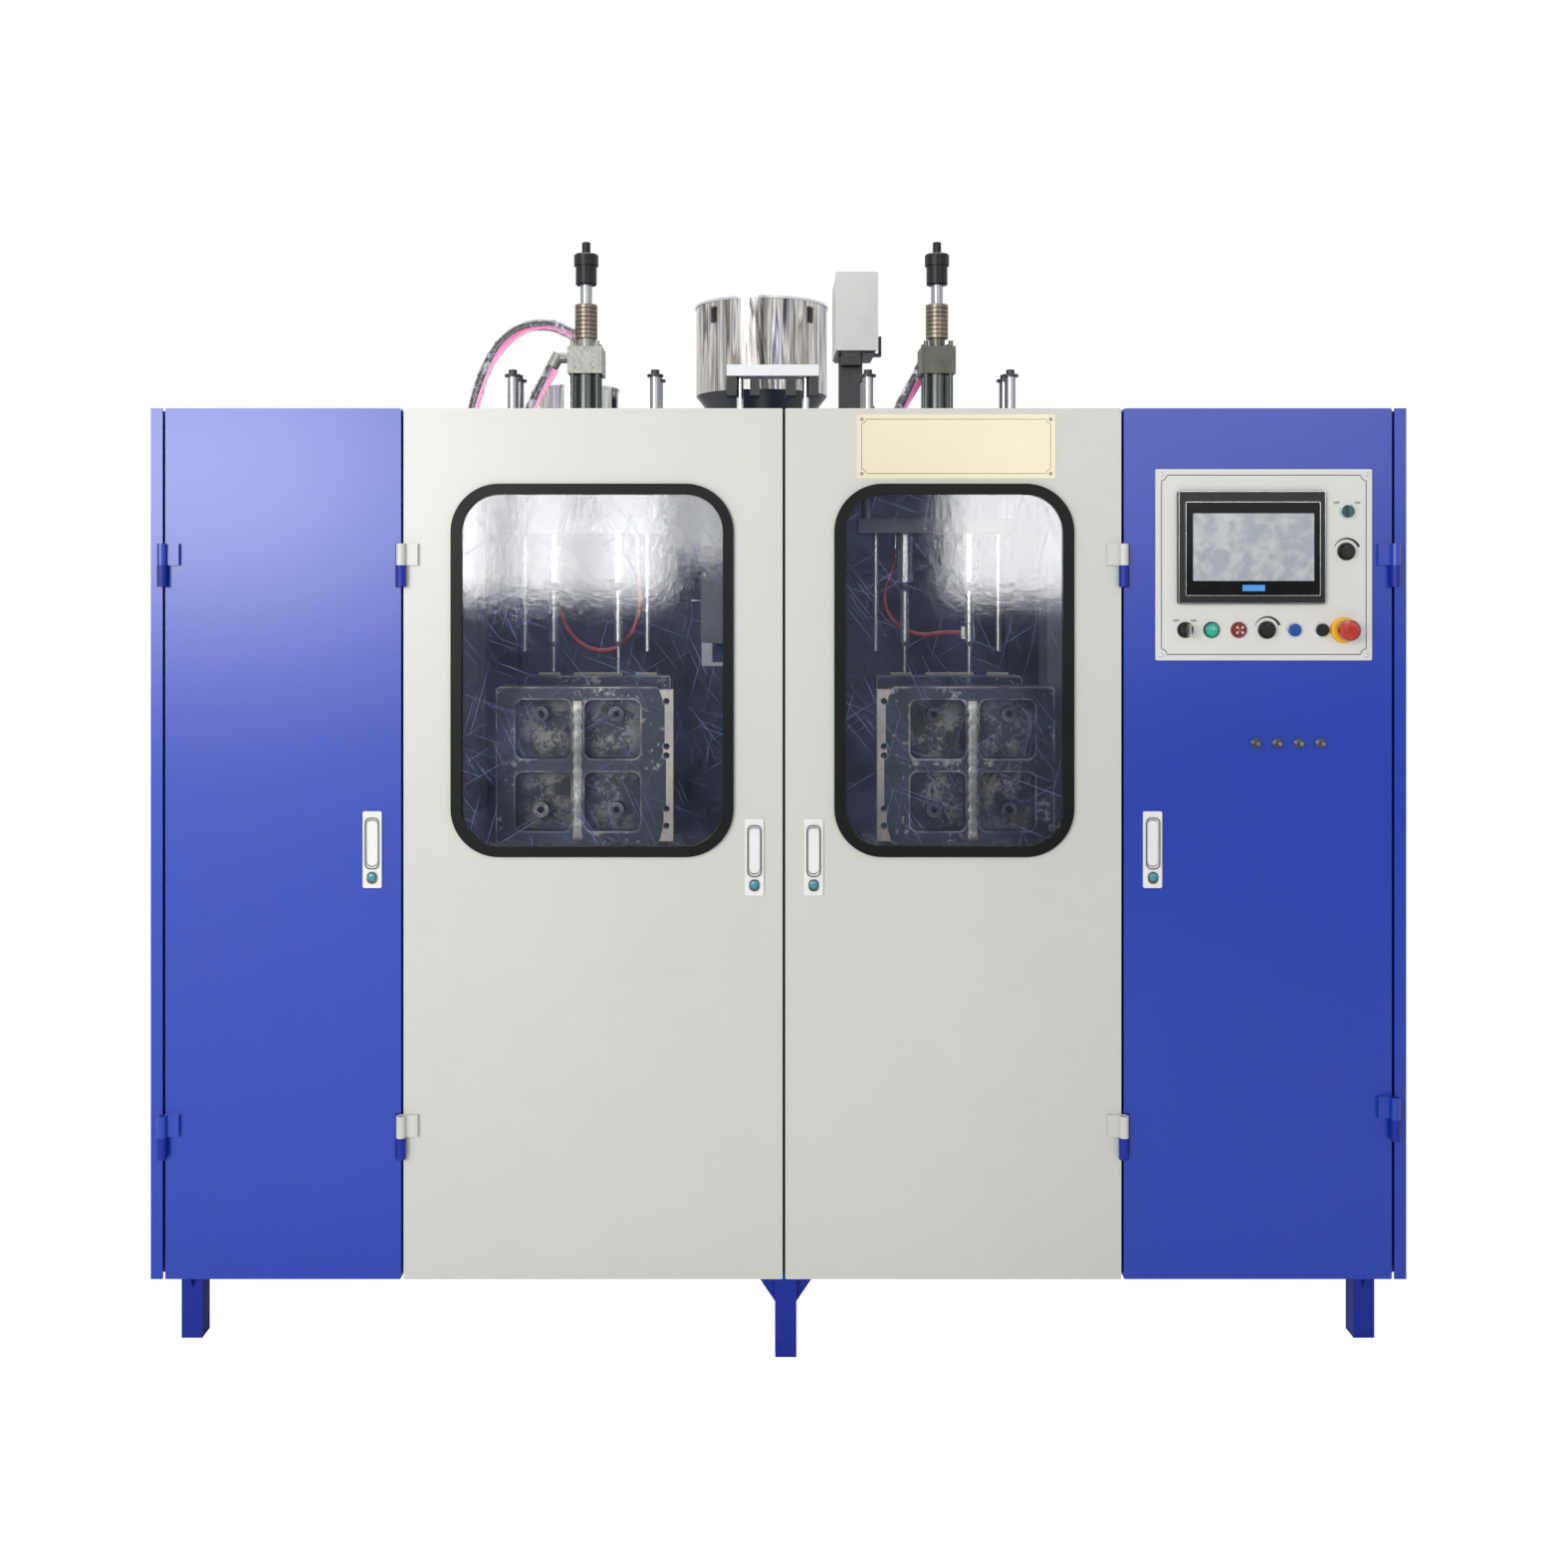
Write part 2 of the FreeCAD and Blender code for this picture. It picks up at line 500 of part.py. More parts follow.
def side_panel(name, sign):
    """A folded sheet: the cabinet's side with a lip returned along the front and the back."""
    outer = "cabinet_width / 2"
    far = "cabinet_depth"
    return padded(name + "_sheet", "XY_Plane", (
        (f"{sign} * ({outer})", "0"), (f"{sign} * ({outer} - post_flange)", "0"),
        (f"{sign} * ({outer} - post_flange)", "panel_sheet"),
        (f"{sign} * ({outer} - panel_sheet)", "panel_sheet"),
        (f"{sign} * ({outer} - panel_sheet)", f"{far} - panel_sheet"),
        (f"{sign} * ({outer} - post_flange)", f"{far} - panel_sheet"),
        (f"{sign} * ({outer} - post_flange)", far), (f"{sign} * ({outer})", far)),
        "0", "door_front_y", "door_bottom", "door_tall")


def louvres(name, x, wide, low, count, pitch):
    """Slots for cooling air, cut through a sheet that faces the back or the side."""
    return [box(f"{name}_{number}", x, "back_y - panel_sheet - 1", f"{low} + {number * pitch}",
                wide, "panel_sheet + 2", "12") for number in range(count)]


for side, sign in (("left", -1), ("right", 1)):
    node(f"{side}_side_panel", side_panel(side, sign))

back_low, back_tall = "door_bottom + 2", "door_tall - 4"
rear_sheets = []
for side, low_x, wide in (
        ("left", f"-({INNER_X}) + post_flange", f"left_split + {INNER_X} - post_flange - 2"),
        ("right", "right_split + 2", f"{INNER_X} - right_split - post_flange - 2")):
    sheet_box = box(f"{side}_rear_sheet", low_x, "back_y - panel_sheet", back_low, wide,
                    "panel_sheet", back_tall)
    slots = louvres(f"{side}_slot", f"{low_x} + 60", f"{wide} - 120", "door_bottom + 200", 6, 40)
    rear_sheets.append(cut(f"{side}_rear_cover", sheet_box, *slots))
rear_sheets.append(box("middle_rear_sheet", "left_split + 2", "back_y - panel_sheet",
                       "door_bottom + tube + 2", "right_split - left_split - 4", "panel_sheet",
                       f"{BED_LOW} - door_bottom - tube - 2"))
upper_sheet = box("upper_rear_sheet", "left_split + 2", "back_y - panel_sheet", BED_LOW,
                  "right_split - left_split - 4", "panel_sheet", f"top_z - 2 - ({BED_LOW})")
openings = [round_bar("barrel_opening", "y", "core_x", "back_y - panel_sheet - 1", "barrel_z",
                      "band_dia + 2 * sheet_room", "panel_sheet + 2")]
for side, sign in (("left", -1), ("right", 1)):
    for level, z in (("shelf", SHELF_LOW), ("top", f"{STAND_TOP} - tube")):
        openings.append(box(f"{side}_{level}_notch",
                            f"core_x + {sign} * gear_wide / 2 - tube / 2 - notch_room",
                            "back_y - panel_sheet - 1", f"{z} - notch_room",
                            "tube + 2 * notch_room", "panel_sheet + 2", "tube + 2 * notch_room"))
rear_sheets.append(cut("upper_rear_cover", upper_sheet, *openings))
node("rear_covers", group("rear_covers", *rear_sheets))

# bed with the two shuttle rails
bed_plate = box("bed_plate", "left_split + tube / 2 + 1", f"{POST_Y} + tube + 1", BED_LOW,
                "right_split - left_split - tube - 2", f"barrel_rest_y - ({POST_Y}) - tube - 2",
                "bed_thick")
chute = box("bed_chute", "core_x - 200", "mould_y - 110", f"{BED_LOW} - 1", "400", "220",
            "bed_thick + 2")
bed = node("machine_bed", cut("machine_bed", bed_plate, chute))
RAIL_X = "left_split + tube / 2 + 6"
RAIL_LONG = "right_split - left_split - tube - 12"
RAIL_TOP = "bed_top + rail_tall"
shuttle_rails = [
    box(f"shuttle_rail_{number}", RAIL_X, f"mould_y {sign} rail_pitch / 2 - rail_wide / 2",
        "bed_top", RAIL_LONG, "rail_wide", "rail_tall")
    for number, sign in enumerate("-+", start=1)]
node("shuttle_rails", group("shuttle_rails", *shuttle_rails))

# ---------------------------------------------------------------- blow bridge and blow units
BRIDGE_TOP = "bridge_low + bridge_thick"
bridge_plate = box("bridge_plate", "left_split + tube / 2 + 1", "mould_y - bridge_deep / 2",
                   "bridge_low", "right_split - left_split - tube - 2", "bridge_deep",
                   "bridge_thick")
pillars = [box(f"bridge_pillar_{side}", x, "mould_y - pillar", "bed_top", "pillar",
               "pillar * 2", "bridge_low - bed_top")
           for side, x in (("left", "left_split + tube / 2 + 1"),
                           ("right", "right_split - tube / 2 - 1 - pillar"))]


def led_from(x, y, z, steps):
    """Points of a hose, given from the station, the mould line and a height it hangs by."""
    return [(round(x + across, 3), round(y + back, 3), round(z + up, 3))
            for across, back, up in steps]


LEFT_X = size("core_x") - size("station_pitch")
RIGHT_X = size("core_x") + size("station_pitch")
MOULD_Y = size("mould_y")
CABINET_TOP = size("door_bottom") + size("door_tall")
CROSSHEAD = CABINET_TOP - size("bridge_drop") - size("crosshead_drop")
# oil hoses drop from the blow cylinders to unions on the bridge
UNION = -size("union_drop")
HOSE_ROUTES = {
    "arch_hose": led_from(LEFT_X, MOULD_Y, CABINET_TOP, (
        (-30.1, 41, 210.6), (-64.7, 41, 230.6), (-112.5, 41, 235.6), (-158.1, 41, 220.8),
        (-193.8, 41, 188.7), (-223.8, 41, 136.7), (-247, 41, 65.4), (-252.5, 41, 16),
        (-252.5, 41, UNION))),
    "drop_hose": led_from(LEFT_X, MOULD_Y, CABINET_TOP, (
        (-72.54, 0, 137.36), (-96.8, 0, 93.6), (-123.1, 0, 39.7), (-129.8, 0, 10.5),
        (-129.8, 0, UNION))),
    "right_hose": led_from(RIGHT_X, MOULD_Y, CABINET_TOP, (
        (-30.54, 73, 137.36), (-54.8, 73, 93.6), (-79.8, 73, 44.6), (-87.5, 73, 13.6),
        (-87.5, 73, UNION))),
}
# air hoses loop behind the blow pins and travel with them
AIR_ROUTES = {
    "left_air_hose": led_from(LEFT_X, MOULD_Y, CROSSHEAD, (
        (-69, 36, -98), (-69, 36, -136), (-57.5, 36, -181), (-32.5, 36, -223), (5.5, 36, -249),
        (51.5, 36, -251), (88.5, 36, -224), (108.5, 36, -180), (113.5, 36, -133),
        (107.5, 36, -90), (107.5, 36, -58))),
    "right_air_hose": led_from(RIGHT_X, MOULD_Y, CROSSHEAD, (
        (-84.5, 36, -30), (-84.5, 36, -61), (-102.5, 36, -99), (-111.5, 36, -141),
        (-98.5, 36, -180), (-66.5, 36, -207), (-25.5, 36, -219), (15.5, 36, -211),
        (52.5, 36, -211))),
}

STATIONS = {"left": "core_x - station_pitch", "right": "core_x + station_pitch"}
GUIDE_SIGNS = ((-1, -1), (1, -1), (1, 1), (-1, 1))
BLOCK_TOP = "blow_block_low + blow_block_tall"
BOSS_TOP = f"{BLOCK_TOP} + boss_low_tall"

bushes, bridge_bores = [], []
for side, x in STATIONS.items():
    bridge_bores.append(round_bar(f"{side}_rod_bore", "z", x, "mould_y", "bridge_low - 1",
                                  "rod_dia + rod_play * 2", "bridge_thick + 40"))
    for number, (across, back) in enumerate(GUIDE_SIGNS, start=1):
        at = (f"{x} + {across} * guide_dx", f"mould_y + {back} * guide_dy")
        bushes.append(round_bar(f"{side}_bush_{number}", "z", *at, f"{BRIDGE_TOP} - 1",
                                "guide_dia * 2", "25"))
        bridge_bores.append(round_bar(f"{side}_guide_bore_{number}", "z", *at, "bridge_low - 1",
                                      "guide_dia + guide_play * 2", "bridge_thick + 40"))
for name, route in HOSE_ROUTES.items():
    across, back, top = route[-1]
    bushes.append(round_bar(f"{name}_union", "z", across, back, f"{BRIDGE_TOP} - 1", "union_dia",
                            f"{top} - ({BRIDGE_TOP}) + 1"))
node("blow_bridge", cut("blow_bridge", fuse("bridge_body", bridge_plate, *pillars, *bushes),
                        *bridge_bores))

cylinders, washers = [], []
for side, x in STATIONS.items():
    barrel = round_bar(f"{side}_blow_barrel", "z", x, "mould_y", BRIDGE_TOP, "blow_cyl_dia",
                       f"blow_block_low - ({BRIDGE_TOP}) + 1")
    foot = box(f"{side}_blow_foot", f"{x} - blow_block_wide / 2", "mould_y - blow_block_wide / 2",
               BRIDGE_TOP, "blow_block_wide", "blow_block_wide", "blow_foot_tall")
    block = box(f"{side}_blow_block", f"{x} - blow_block_wide / 2", "mould_y - blow_block_front",
                "blow_block_low", "blow_block_wide", "blow_block_deep", "blow_block_tall")
    boss = round_bar(f"{side}_blow_boss", "z", x, "mould_y", f"{BLOCK_TOP} - 1", "boss_low_dia",
                     "boss_low_tall + 1")
    ties = [round_bar(f"{side}_blow_tie_{number}", "z", f"{x} + {across} * tie_set",
                      f"mould_y + {back} * tie_set", f"{BRIDGE_TOP} + 5", "tie_dia",
                      f"{BLOCK_TOP} + 7 - ({BRIDGE_TOP})")
            for number, (across, back) in enumerate(GUIDE_SIGNS, start=1)]
    bore = round_bar(f"{side}_blow_bore", "z", x, "mould_y", f"{BRIDGE_TOP} - 1",
                     "rod_dia + rod_play * 2", f"{BOSS_TOP} - ({BRIDGE_TOP}) + 2")
    cylinders.append(cut(f"{side}_blow_cylinder",
                         fuse(f"{side}_blow_body", barrel, foot, block, boss, *ties), bore))
    for number in range(int(size("washer_count"))):
        ring = turned(f"{side}_washer_{number + 1}", (
            ("rod_dia / 2 + 0.4", "0"), ("washer_dia / 2 - 1", "0"), ("washer_dia / 2", "1"),
            ("washer_dia / 2", "washer_tall - 1"), ("washer_dia / 2 - 1", "washer_tall"),
            ("rod_dia / 2 + 0.4", "washer_tall")),
            x, "mould_y", f"{BOSS_TOP} + {number} * washer_tall")
        washers.append(ring)
left_x, right_x = STATIONS["left"], STATIONS["right"]
fittings = [
    round_bar("arch_stub", "z", f"{left_x} + 3.5", "mould_y + 41", f"{BLOCK_TOP} - 1", "24", "15"),
    angled_bar("arch_elbow", f"{left_x} + 8", "mould_y + 41", f"{BLOCK_TOP} + 12",
               (-0.866, 0, 0.5), "27", "44"),
    round_bar("drop_stub", "x", f"{left_x} - blow_block_wide / 2 - 26", "mould_y",
              f"{BLOCK_TOP} - 20.6", "22", "27"),
    angled_bar("drop_elbow", f"{left_x} - blow_block_wide / 2 - 22", "mould_y",
               f"{BLOCK_TOP} - 13", (-0.4848, 0, -0.8746), "26", "30"),
    round_bar("right_stub", "y", f"{right_x} - 20", "mould_y + 53", f"{BLOCK_TOP} - 20.6", "22",
              "20"),
    angled_bar("right_elbow", f"{right_x} - 16", "mould_y + 73", f"{BLOCK_TOP} - 13",
               (-0.4848, 0, -0.8746), "26", "30"),
]
cylinders[0] = fuse("left_blow_unit", cylinders[0], *fittings[:4])
cylinders[1] = fuse("right_blow_unit", cylinders[1], *fittings[4:])
node("blow_cylinders", group("blow_cylinders", *cylinders))
node("stop_washers", group("stop_washers", *washers))

CAP_LOW = f"{BOSS_TOP} + washer_count * washer_tall + blow_stroke"
HEAD_TOP = "crosshead_low + crosshead_thick"
for side, x in STATIONS.items():
    moving = [box(f"{side}_crosshead", f"{x} - crosshead_wide / 2",
                  "mould_y - crosshead_deep / 2", "crosshead_low", "crosshead_wide",
                  "crosshead_deep", "crosshead_thick")]
    moving.append(round_bar(f"{side}_piston_rod", "z", x, "mould_y", f"{HEAD_TOP} - 1", "rod_dia",
                            f"{CAP_LOW} + 5 - ({HEAD_TOP})"))
    moving.append(turned(f"{side}_stop_cap", (
        ("0", "0"), ("cap_dia / 2 - 2", "0"), ("cap_dia / 2", "2"),
        ("cap_dia / 2", "cap_tall * 0.62"), ("cap_collar_dia / 2", "cap_tall * 0.62"),
        ("cap_collar_dia / 2", "cap_tall - 3"), ("cap_collar_dia / 2 - 3", "cap_tall"),
        ("stub_dia / 2", "cap_tall"), ("stub_dia / 2", "cap_tall + stub_tall - 2"),
        ("stub_dia / 2 - 2", "cap_tall + stub_tall"), ("0", "cap_tall + stub_tall")),
        x, "mould_y", CAP_LOW))
    for number, (across, back) in enumerate(GUIDE_SIGNS, start=1):
        at = (f"{x} + {across} * guide_dx", f"mould_y + {back} * guide_dy")
        moving.append(round_bar(f"{side}_guide_{number}", "z", *at, f"{HEAD_TOP} - 1",
                                "guide_dia", f"guide_top - ({HEAD_TOP}) + 1"))
        moving.append(round_bar(f"{side}_guide_washer_{number}", "z", *at, "guide_top - 1",
                                "guide_dia * 1.55", "5"))
        moving.append(round_bar(f"{side}_guide_bolt_{number}", "z", *at, "guide_top",
                                "guide_dia * 0.8", "14"))
    for number, across in enumerate((-1, 1), start=1):
        at = (f"{x} + {across} * pin_dx", "mould_y")
        moving.append(turned(f"{side}_blow_pin_{number}", (
            ("0", f"{HEAD_TOP} - 5"), ("sleeve_dia / 2", f"{HEAD_TOP} - 5"),
            ("sleeve_dia / 2", "sleeve_low"), ("nut_dia / 2", "sleeve_low"),
            ("nut_dia / 2", "sleeve_low - nut_tall"), ("pin_body_dia / 2", "sleeve_low - nut_tall"),
            ("pin_body_dia / 2", "pin_body_low"), ("pin_tip_dia / 2", "pin_body_low - 10"),
            ("pin_tip_dia / 2", "pin_tip_low"), ("0", "pin_tip_low")), *at, "0"))
        moving.append(round_bar(f"{side}_stay_{number}", "z", f"{x} + {across} * stay_dx",
                                "mould_y", "stay_low", "stay_dia", "crosshead_low - stay_low + 1"))
    if side == "left":
        gland, port = AIR_ROUTES["left_air_hose"][-1], AIR_ROUTES["left_air_hose"][0]
        moving.append(box("left_air_port", f"{x} - pin_dx - 9", "mould_y + sleeve_dia / 2 - 4",
                          f"{port[2]}", "18", "28", "24"))
    else:
        gland, port = AIR_ROUTES["right_air_hose"][0], AIR_ROUTES["right_air_hose"][-1]
        moving.append(box("right_air_port", f"{port[0]}", "mould_y + 4", f"{port[2]} - 13", "28",
                          "46", "26"))
    moving.append(round_bar(f"{side}_air_gland", "z", f"{gland[0]}", f"{gland[1]}",
                            f"{gland[2]}", "gland_dia", f"crosshead_low - {gland[2]} + 1"))
    node(f"{side}_blow_carriage", fuse(f"{side}_blow_carriage", *moving))

# ---------------------------------------------------------------- extruder, die head, hopper
BARREL_FRONT = "mould_y + die_deep / 2"
BARREL_LONG = f"feed_y - feed_wide / 2 - ({BARREL_FRONT})"
head_block = box("die_block", "core_x + die_shift - die_wide / 2", "mould_y - die_deep / 2",
                 "die_low", "die_wide", "die_deep", "die_tall")
head_flange = box("die_flange", "core_x - 90", f"{BARREL_FRONT} - 1", "barrel_z - 90 + 45", "180",
                  "26", "90")
dies, die_bores = [], []
for number, across in enumerate((-1, 1), start=1):
    at = (f"core_x + die_shift + {across} * die_dx", "mould_y")
    dies.append(round_bar(f"die_bush_{number}", "z", *at, "die_low - die_bush_tall",
                          "die_bush_dia", "die_bush_tall + 1"))
    die_bores.append(round_bar(f"die_gap_{number}", "z", *at, "die_low - die_bush_tall - 1", "44",
                               "die_bush_tall + 30"))
    dies.append(round_bar(f"core_screw_{number}", "z", *at, "die_low + die_tall - 1", "30", "8"))
node("die_head", cut("die_head", fuse("die_body", head_block, head_flange, *dies), *die_bores))

barrel_tube = round_bar("barrel_tube", "y", "core_x", f"{BARREL_FRONT} + 25", "barrel_z",
                        "barrel_dia", f"{BARREL_LONG} - 25")
feed_block = box("feed_block", "core_x - feed_wide / 2", "feed_y - feed_wide / 2",
                 "barrel_z - feed_tall / 2", "feed_wide", "feed_wide", "feed_tall")
feed_neck = round_bar("feed_neck", "z", "core_x", "feed_y", "barrel_z",
                      "hopper_neck_dia + 24", "hopper_throat - barrel_z")
rear_neck = round_bar("gear_neck", "y", "core_x", "feed_y + feed_wide / 2 - 1", "barrel_z",
                      "barrel_dia + 60", "31")
saddle = box("barrel_saddle", "core_x - 60", "barrel_rest_y + 4", BEARER_TOP, "120",
             "tube - 8", f"barrel_z - ({BEARER_TOP})")
feed_bore = round_bar("feed_bore", "z", "core_x", "feed_y", "barrel_z", "hopper_neck_dia - 10",
                      "hopper_throat - barrel_z + 1")
node("extruder_barrel", cut("extruder_barrel", fuse(
    "barrel_body", barrel_tube, feed_block, feed_neck, rear_neck, saddle), feed_bore))

bands = []
BAND_START = "barrel_rest_y - band_wide - 1"
BAND_PITCH = (f"(feed_y - feed_wide / 2 - band_end_room - band_wide - ({BAND_START}))"
              " / (band_count - 1)")
for number in range(int(size("band_count"))):
    start = f"{BAND_START} + {number} * {BAND_PITCH}"
    ring = cut(f"heater_band_{number + 1}",
               round_bar(f"band_outer_{number + 1}", "y", "core_x", start, "barrel_z", "band_dia",
                         "band_wide"),
               round_bar(f"band_inner_{number + 1}", "y", "core_x", f"{start} - 1", "barrel_z",
                         "barrel_dia + 0.6", "band_wide + 2"))
    bands.append(ring)
node("heater_bands", group("heater_bands", *bands))

gear_case = box("gear_case", "core_x - gear_wide / 2", GEAR_Y, STAND_TOP, "gear_wide",
                "gear_deep", "gear_tall")
gear_ribs = [box(f"gear_rib_{number}", f"core_x - gear_wide / 2 + {number * 75 + 8}",
                 f"{GEAR_Y} + 10", f"{STAND_TOP} + gear_tall - 1", "10", "gear_deep - 20", "16")
             for number in range(5)]
out_shaft = round_bar("gear_shaft", "y", "core_x", f"{GEAR_Y} + gear_deep - 1", "barrel_z",
                      "shaft_dia", "33")
node("gearbox", fuse("gearbox", gear_case, out_shaft, *gear_ribs))

motor_body = round_bar("motor_body", "y", "core_x", MOTOR_Y, "motor_z", "motor_dia",
                       "motor_length")
motor_fins = [box(f"motor_fin_{number}", "core_x - motor_dia / 2 - 8",
                  f"{MOTOR_Y} + 70", f"motor_z - 75 + {number * 25}", "motor_dia + 16",
                  "motor_length - 110", "6") for number in range(7)]
motor_feet = box("motor_feet", "core_x - motor_dia / 2", f"{MOTOR_Y} + 60",
                 "motor_z - motor_dia / 2 - 20", "motor_dia", "motor_length - 110", "60")
terminal_box = box("motor_terminals", "core_x - 50", f"{MOTOR_Y} + 110",
                   "motor_z + motor_dia / 2 - 12", "100", "110", "50")
motor_shaft = round_bar("motor_shaft", "y", "core_x", f"{MOTOR_Y} + motor_length - 1", "motor_z",
                        "shaft_dia", "33")
node("drive_motor", fuse("drive_motor", motor_body, motor_feet, terminal_box, motor_shaft,
                         *motor_fins))
guard = slab("guard_cover", "core_x", GUARD_Y, "(motor_z + barrel_z) / 2", "guard_wide",
             "barrel_z - motor_z + guard_wide", "guard_deep", "guard_corner")
node("belt_guard", guard)

node("hopper", turned("hopper", (
    ("hopper_neck_dia / 2", "hopper_throat"), ("hopper_dia / 2", "hopper_low"),
    ("hopper_dia / 2", "hopper_high - rim_dia"), ("hopper_dia / 2 + 3", "hopper_high - rim_dia"),
    ("hopper_dia / 2 + 3", "hopper_high"), ("hopper_dia / 2 - hopper_wall", "hopper_high"),
    ("hopper_dia / 2 - hopper_wall", "hopper_low + 0.6"),
    ("hopper_neck_dia / 2 - hopper_wall", "hopper_throat + 0.6"),
    ("hopper_neck_dia / 2 - hopper_wall", "hopper_throat")), "core_x", "feed_y", "0"))
node("side_hopper", fuse("side_hopper", turned("side_drum", (
    ("30", "side_hopper_low"), ("side_hopper_dia / 2", "side_hopper_low + 70"),
    ("side_hopper_dia / 2", "side_hopper_high - 6"),
    ("side_hopper_dia / 2 + 3", "side_hopper_high - 6"),
    ("side_hopper_dia / 2 + 3", "side_hopper_high"),
    ("side_hopper_dia / 2 - hopper_wall", "side_hopper_high"),
    ("side_hopper_dia / 2 - hopper_wall", "side_hopper_low + 71"),
    ("30 - hopper_wall", "side_hopper_low + 1"), ("30 - hopper_wall", "side_hopper_low")),
    "side_hopper_x", "side_hopper_y", "0"),
    turned("side_drum_foot", (
        ("28", "top_z - 2"), ("60", "top_z - 2"), ("60", "top_z + 4"), ("32", "top_z + 4"),
        ("32", "side_hopper_low + 30"), ("28", "side_hopper_low + 30")),
        "side_hopper_x", "side_hopper_y", "0")))

LIFT_X = "core_x + 26"
posts, beam = [], [box("beam_plate", f"{LIFT_X} - beam_wide / 2",
                       "lift_y - beam_deep / 2", "beam_low", "beam_wide", "beam_deep", "beam_tall")]
post_holes = []
for side, sign in (("left", -1), ("right", 1)):
    x = f"{LIFT_X} + {sign} * lift_post_dx"
    posts.append(round_bar(f"lift_post_{side}", "z", x, "lift_y", "top_z - 2", "lift_post_dia",
                           "beam_low + beam_tall - top_z + 2"))
    post_holes.append(round_bar(f"lift_hole_{side}", "z", x, "lift_y", "beam_low - block_tall - 1",
                                "lift_post_dia + 0.2", "beam_tall + block_tall + 2"))
    for place, shift in (("outer", 1.25), ("inner", 0.55)):
        beam.append(box(f"lift_block_{side}_{place}", f"{LIFT_X} + {sign} * lift_post_dx * {shift}"
                        " - 11", "lift_y - beam_deep / 2 + 4", "beam_low - block_tall", "22",
                        "beam_deep - 8", "block_tall + 1"))
node("lift_beam", cut("lift_beam", fuse("lift_beam_body", *beam), *post_holes))
node("lift_posts", group("lift_posts", *posts))

bracket = [
    box("bracket_foot", "box_x - 40", "barrel_rest_y", "top_z - 2", "80", "tube", "6"),
    box("bracket_post", "box_x - 40", "barrel_rest_y + tube / 2 - 3", "top_z - 2", "56", "6",
        "box_low - top_z + 2"),
    box("bracket_plate", "box_x - box_wide / 2 + 4", "box_y + 20", "box_low - 6", "box_wide - 8",
        "box_deep - 40", "6"),
    box("gland_block", "box_x - 34", "box_y + 12", "box_low - 34", "44", "50", "29"),
    padded("bracket_brace", "XZ_Plane", (("0", "0"), ("8", "0"), ("56", "90"), ("48", "90")),
           "box_x - 10", "barrel_rest_y + tube / 2 - 3", "top_z + 2", "6", away=True),
    box("bracket_hook", "box_x + box_wide / 2 - 6", "box_y + 60", "box_low - 6", "20", "24", "6"),
    box("bracket_hook_tip", "box_x + box_wide / 2 + 8", "box_y + 60", "box_low - 6", "6", "24",
        "46"),
]
bracket[3] = fuse("gland", bracket[3],
                  box("gland_top", "box_x - 34", "box_y + 12", "box_low - 6", "44", "50", "6"))
node("box_bracket", fuse("box_bracket", *bracket))
housing = slab("box_housing", "box_x", "box_y + 8", "box_low + box_tall / 2", "box_wide",
               "box_tall", "box_deep - 8", "4")
box_lid = slab("box_lid", "box_x", "box_y", "box_low + box_tall / 2", "box_wide + 4",
               "box_tall + 4", "10", "5")
node("junction_box", fuse("junction_box", housing, box_lid))


# ---------------------------------------------------------------- hoses
for name, route in HOSE_ROUTES.items():
    node(name, hose(name, size("hose_dia"), route))
for name, route in AIR_ROUTES.items():
    node(name, hose(name, size("air_hose_dia"), route))

# ---------------------------------------------------------------- doors
MID_Z = "door_bottom + door_tall / 2"
GAP = "door_gap / 2"


def barrel_relief(name, x, z, wall):
    """The space that a neighbouring door's hinge barrels need, grown by a wall all round."""
    return box(name, f"({x}) - hinge_dia / 2 - relief_room - {wall}", "door_front_y - 1",
               f"({z}) - hinge_half - relief_end - {wall}",
               f"hinge_dia + 2 * (relief_room + {wall})", "door_depth + 2",
               f"2 * (hinge_half + relief_end + {wall})")


def door_pan(name, low_x, high_x, reliefs):
    """A folded sheet door: a skin with a lip returned round its back and round each relief."""
    wide = f"({high_x}) - ({low_x})"
    middle = f"(({high_x}) + ({low_x})) / 2"
    outer = slab(f"{name}_shell", middle, "door_front_y", MID_Z, wide, "door_tall", "door_depth",
                 "2.5")
    inner = box(f"{name}_hollow", f"{low_x} + door_skin", "door_front_y + door_skin",
                "door_bottom + door_skin", f"{wide} - 2 * door_skin", "door_depth",
                "door_tall - 2 * door_skin")
    notches = [barrel_relief(f"{name}_{z}_relief", x, z, 0) for x, z in reliefs]
    if reliefs:
        walls = [barrel_relief(f"{name}_{z}_relief_wall", x, z, "door_skin") for x, z in reliefs]
        inner = cut(f"{name}_walled_hollow", inner, *walls)
    return cut(f"{name}_pan", outer, inner, *notches)


def hinge_door_half(name, x, z, toward):
    """The upper barrel, bored for the pin, with its leaf on the face of the door."""
    barrel = round_bar(name + "_upper", "z", x, HINGE_Y, z, "hinge_dia", "hinge_half")
    start = x if toward > 0 else f"({x}) - leaf_wide"
    leaf = box(name + "_upper_leaf", start, f"{HINGE_Y} + leaf_set", z, "leaf_wide",
               f"door_front_y - ({HINGE_Y}) - leaf_set", "hinge_half")
    bore = round_bar(name + "_bore", "z", x, HINGE_Y, f"({z}) - 1",
                     "pin_dia + 2 * pin_play", "hinge_half + 2")
    return cut(name + "_upper_half", fuse(name + "_upper_body", barrel, leaf), bore)


LEVER_PIN_Y = "door_front_y"
LEVER_PIN_RISE = "recess_lift + lever_tall / 2 - lever_pin_set"


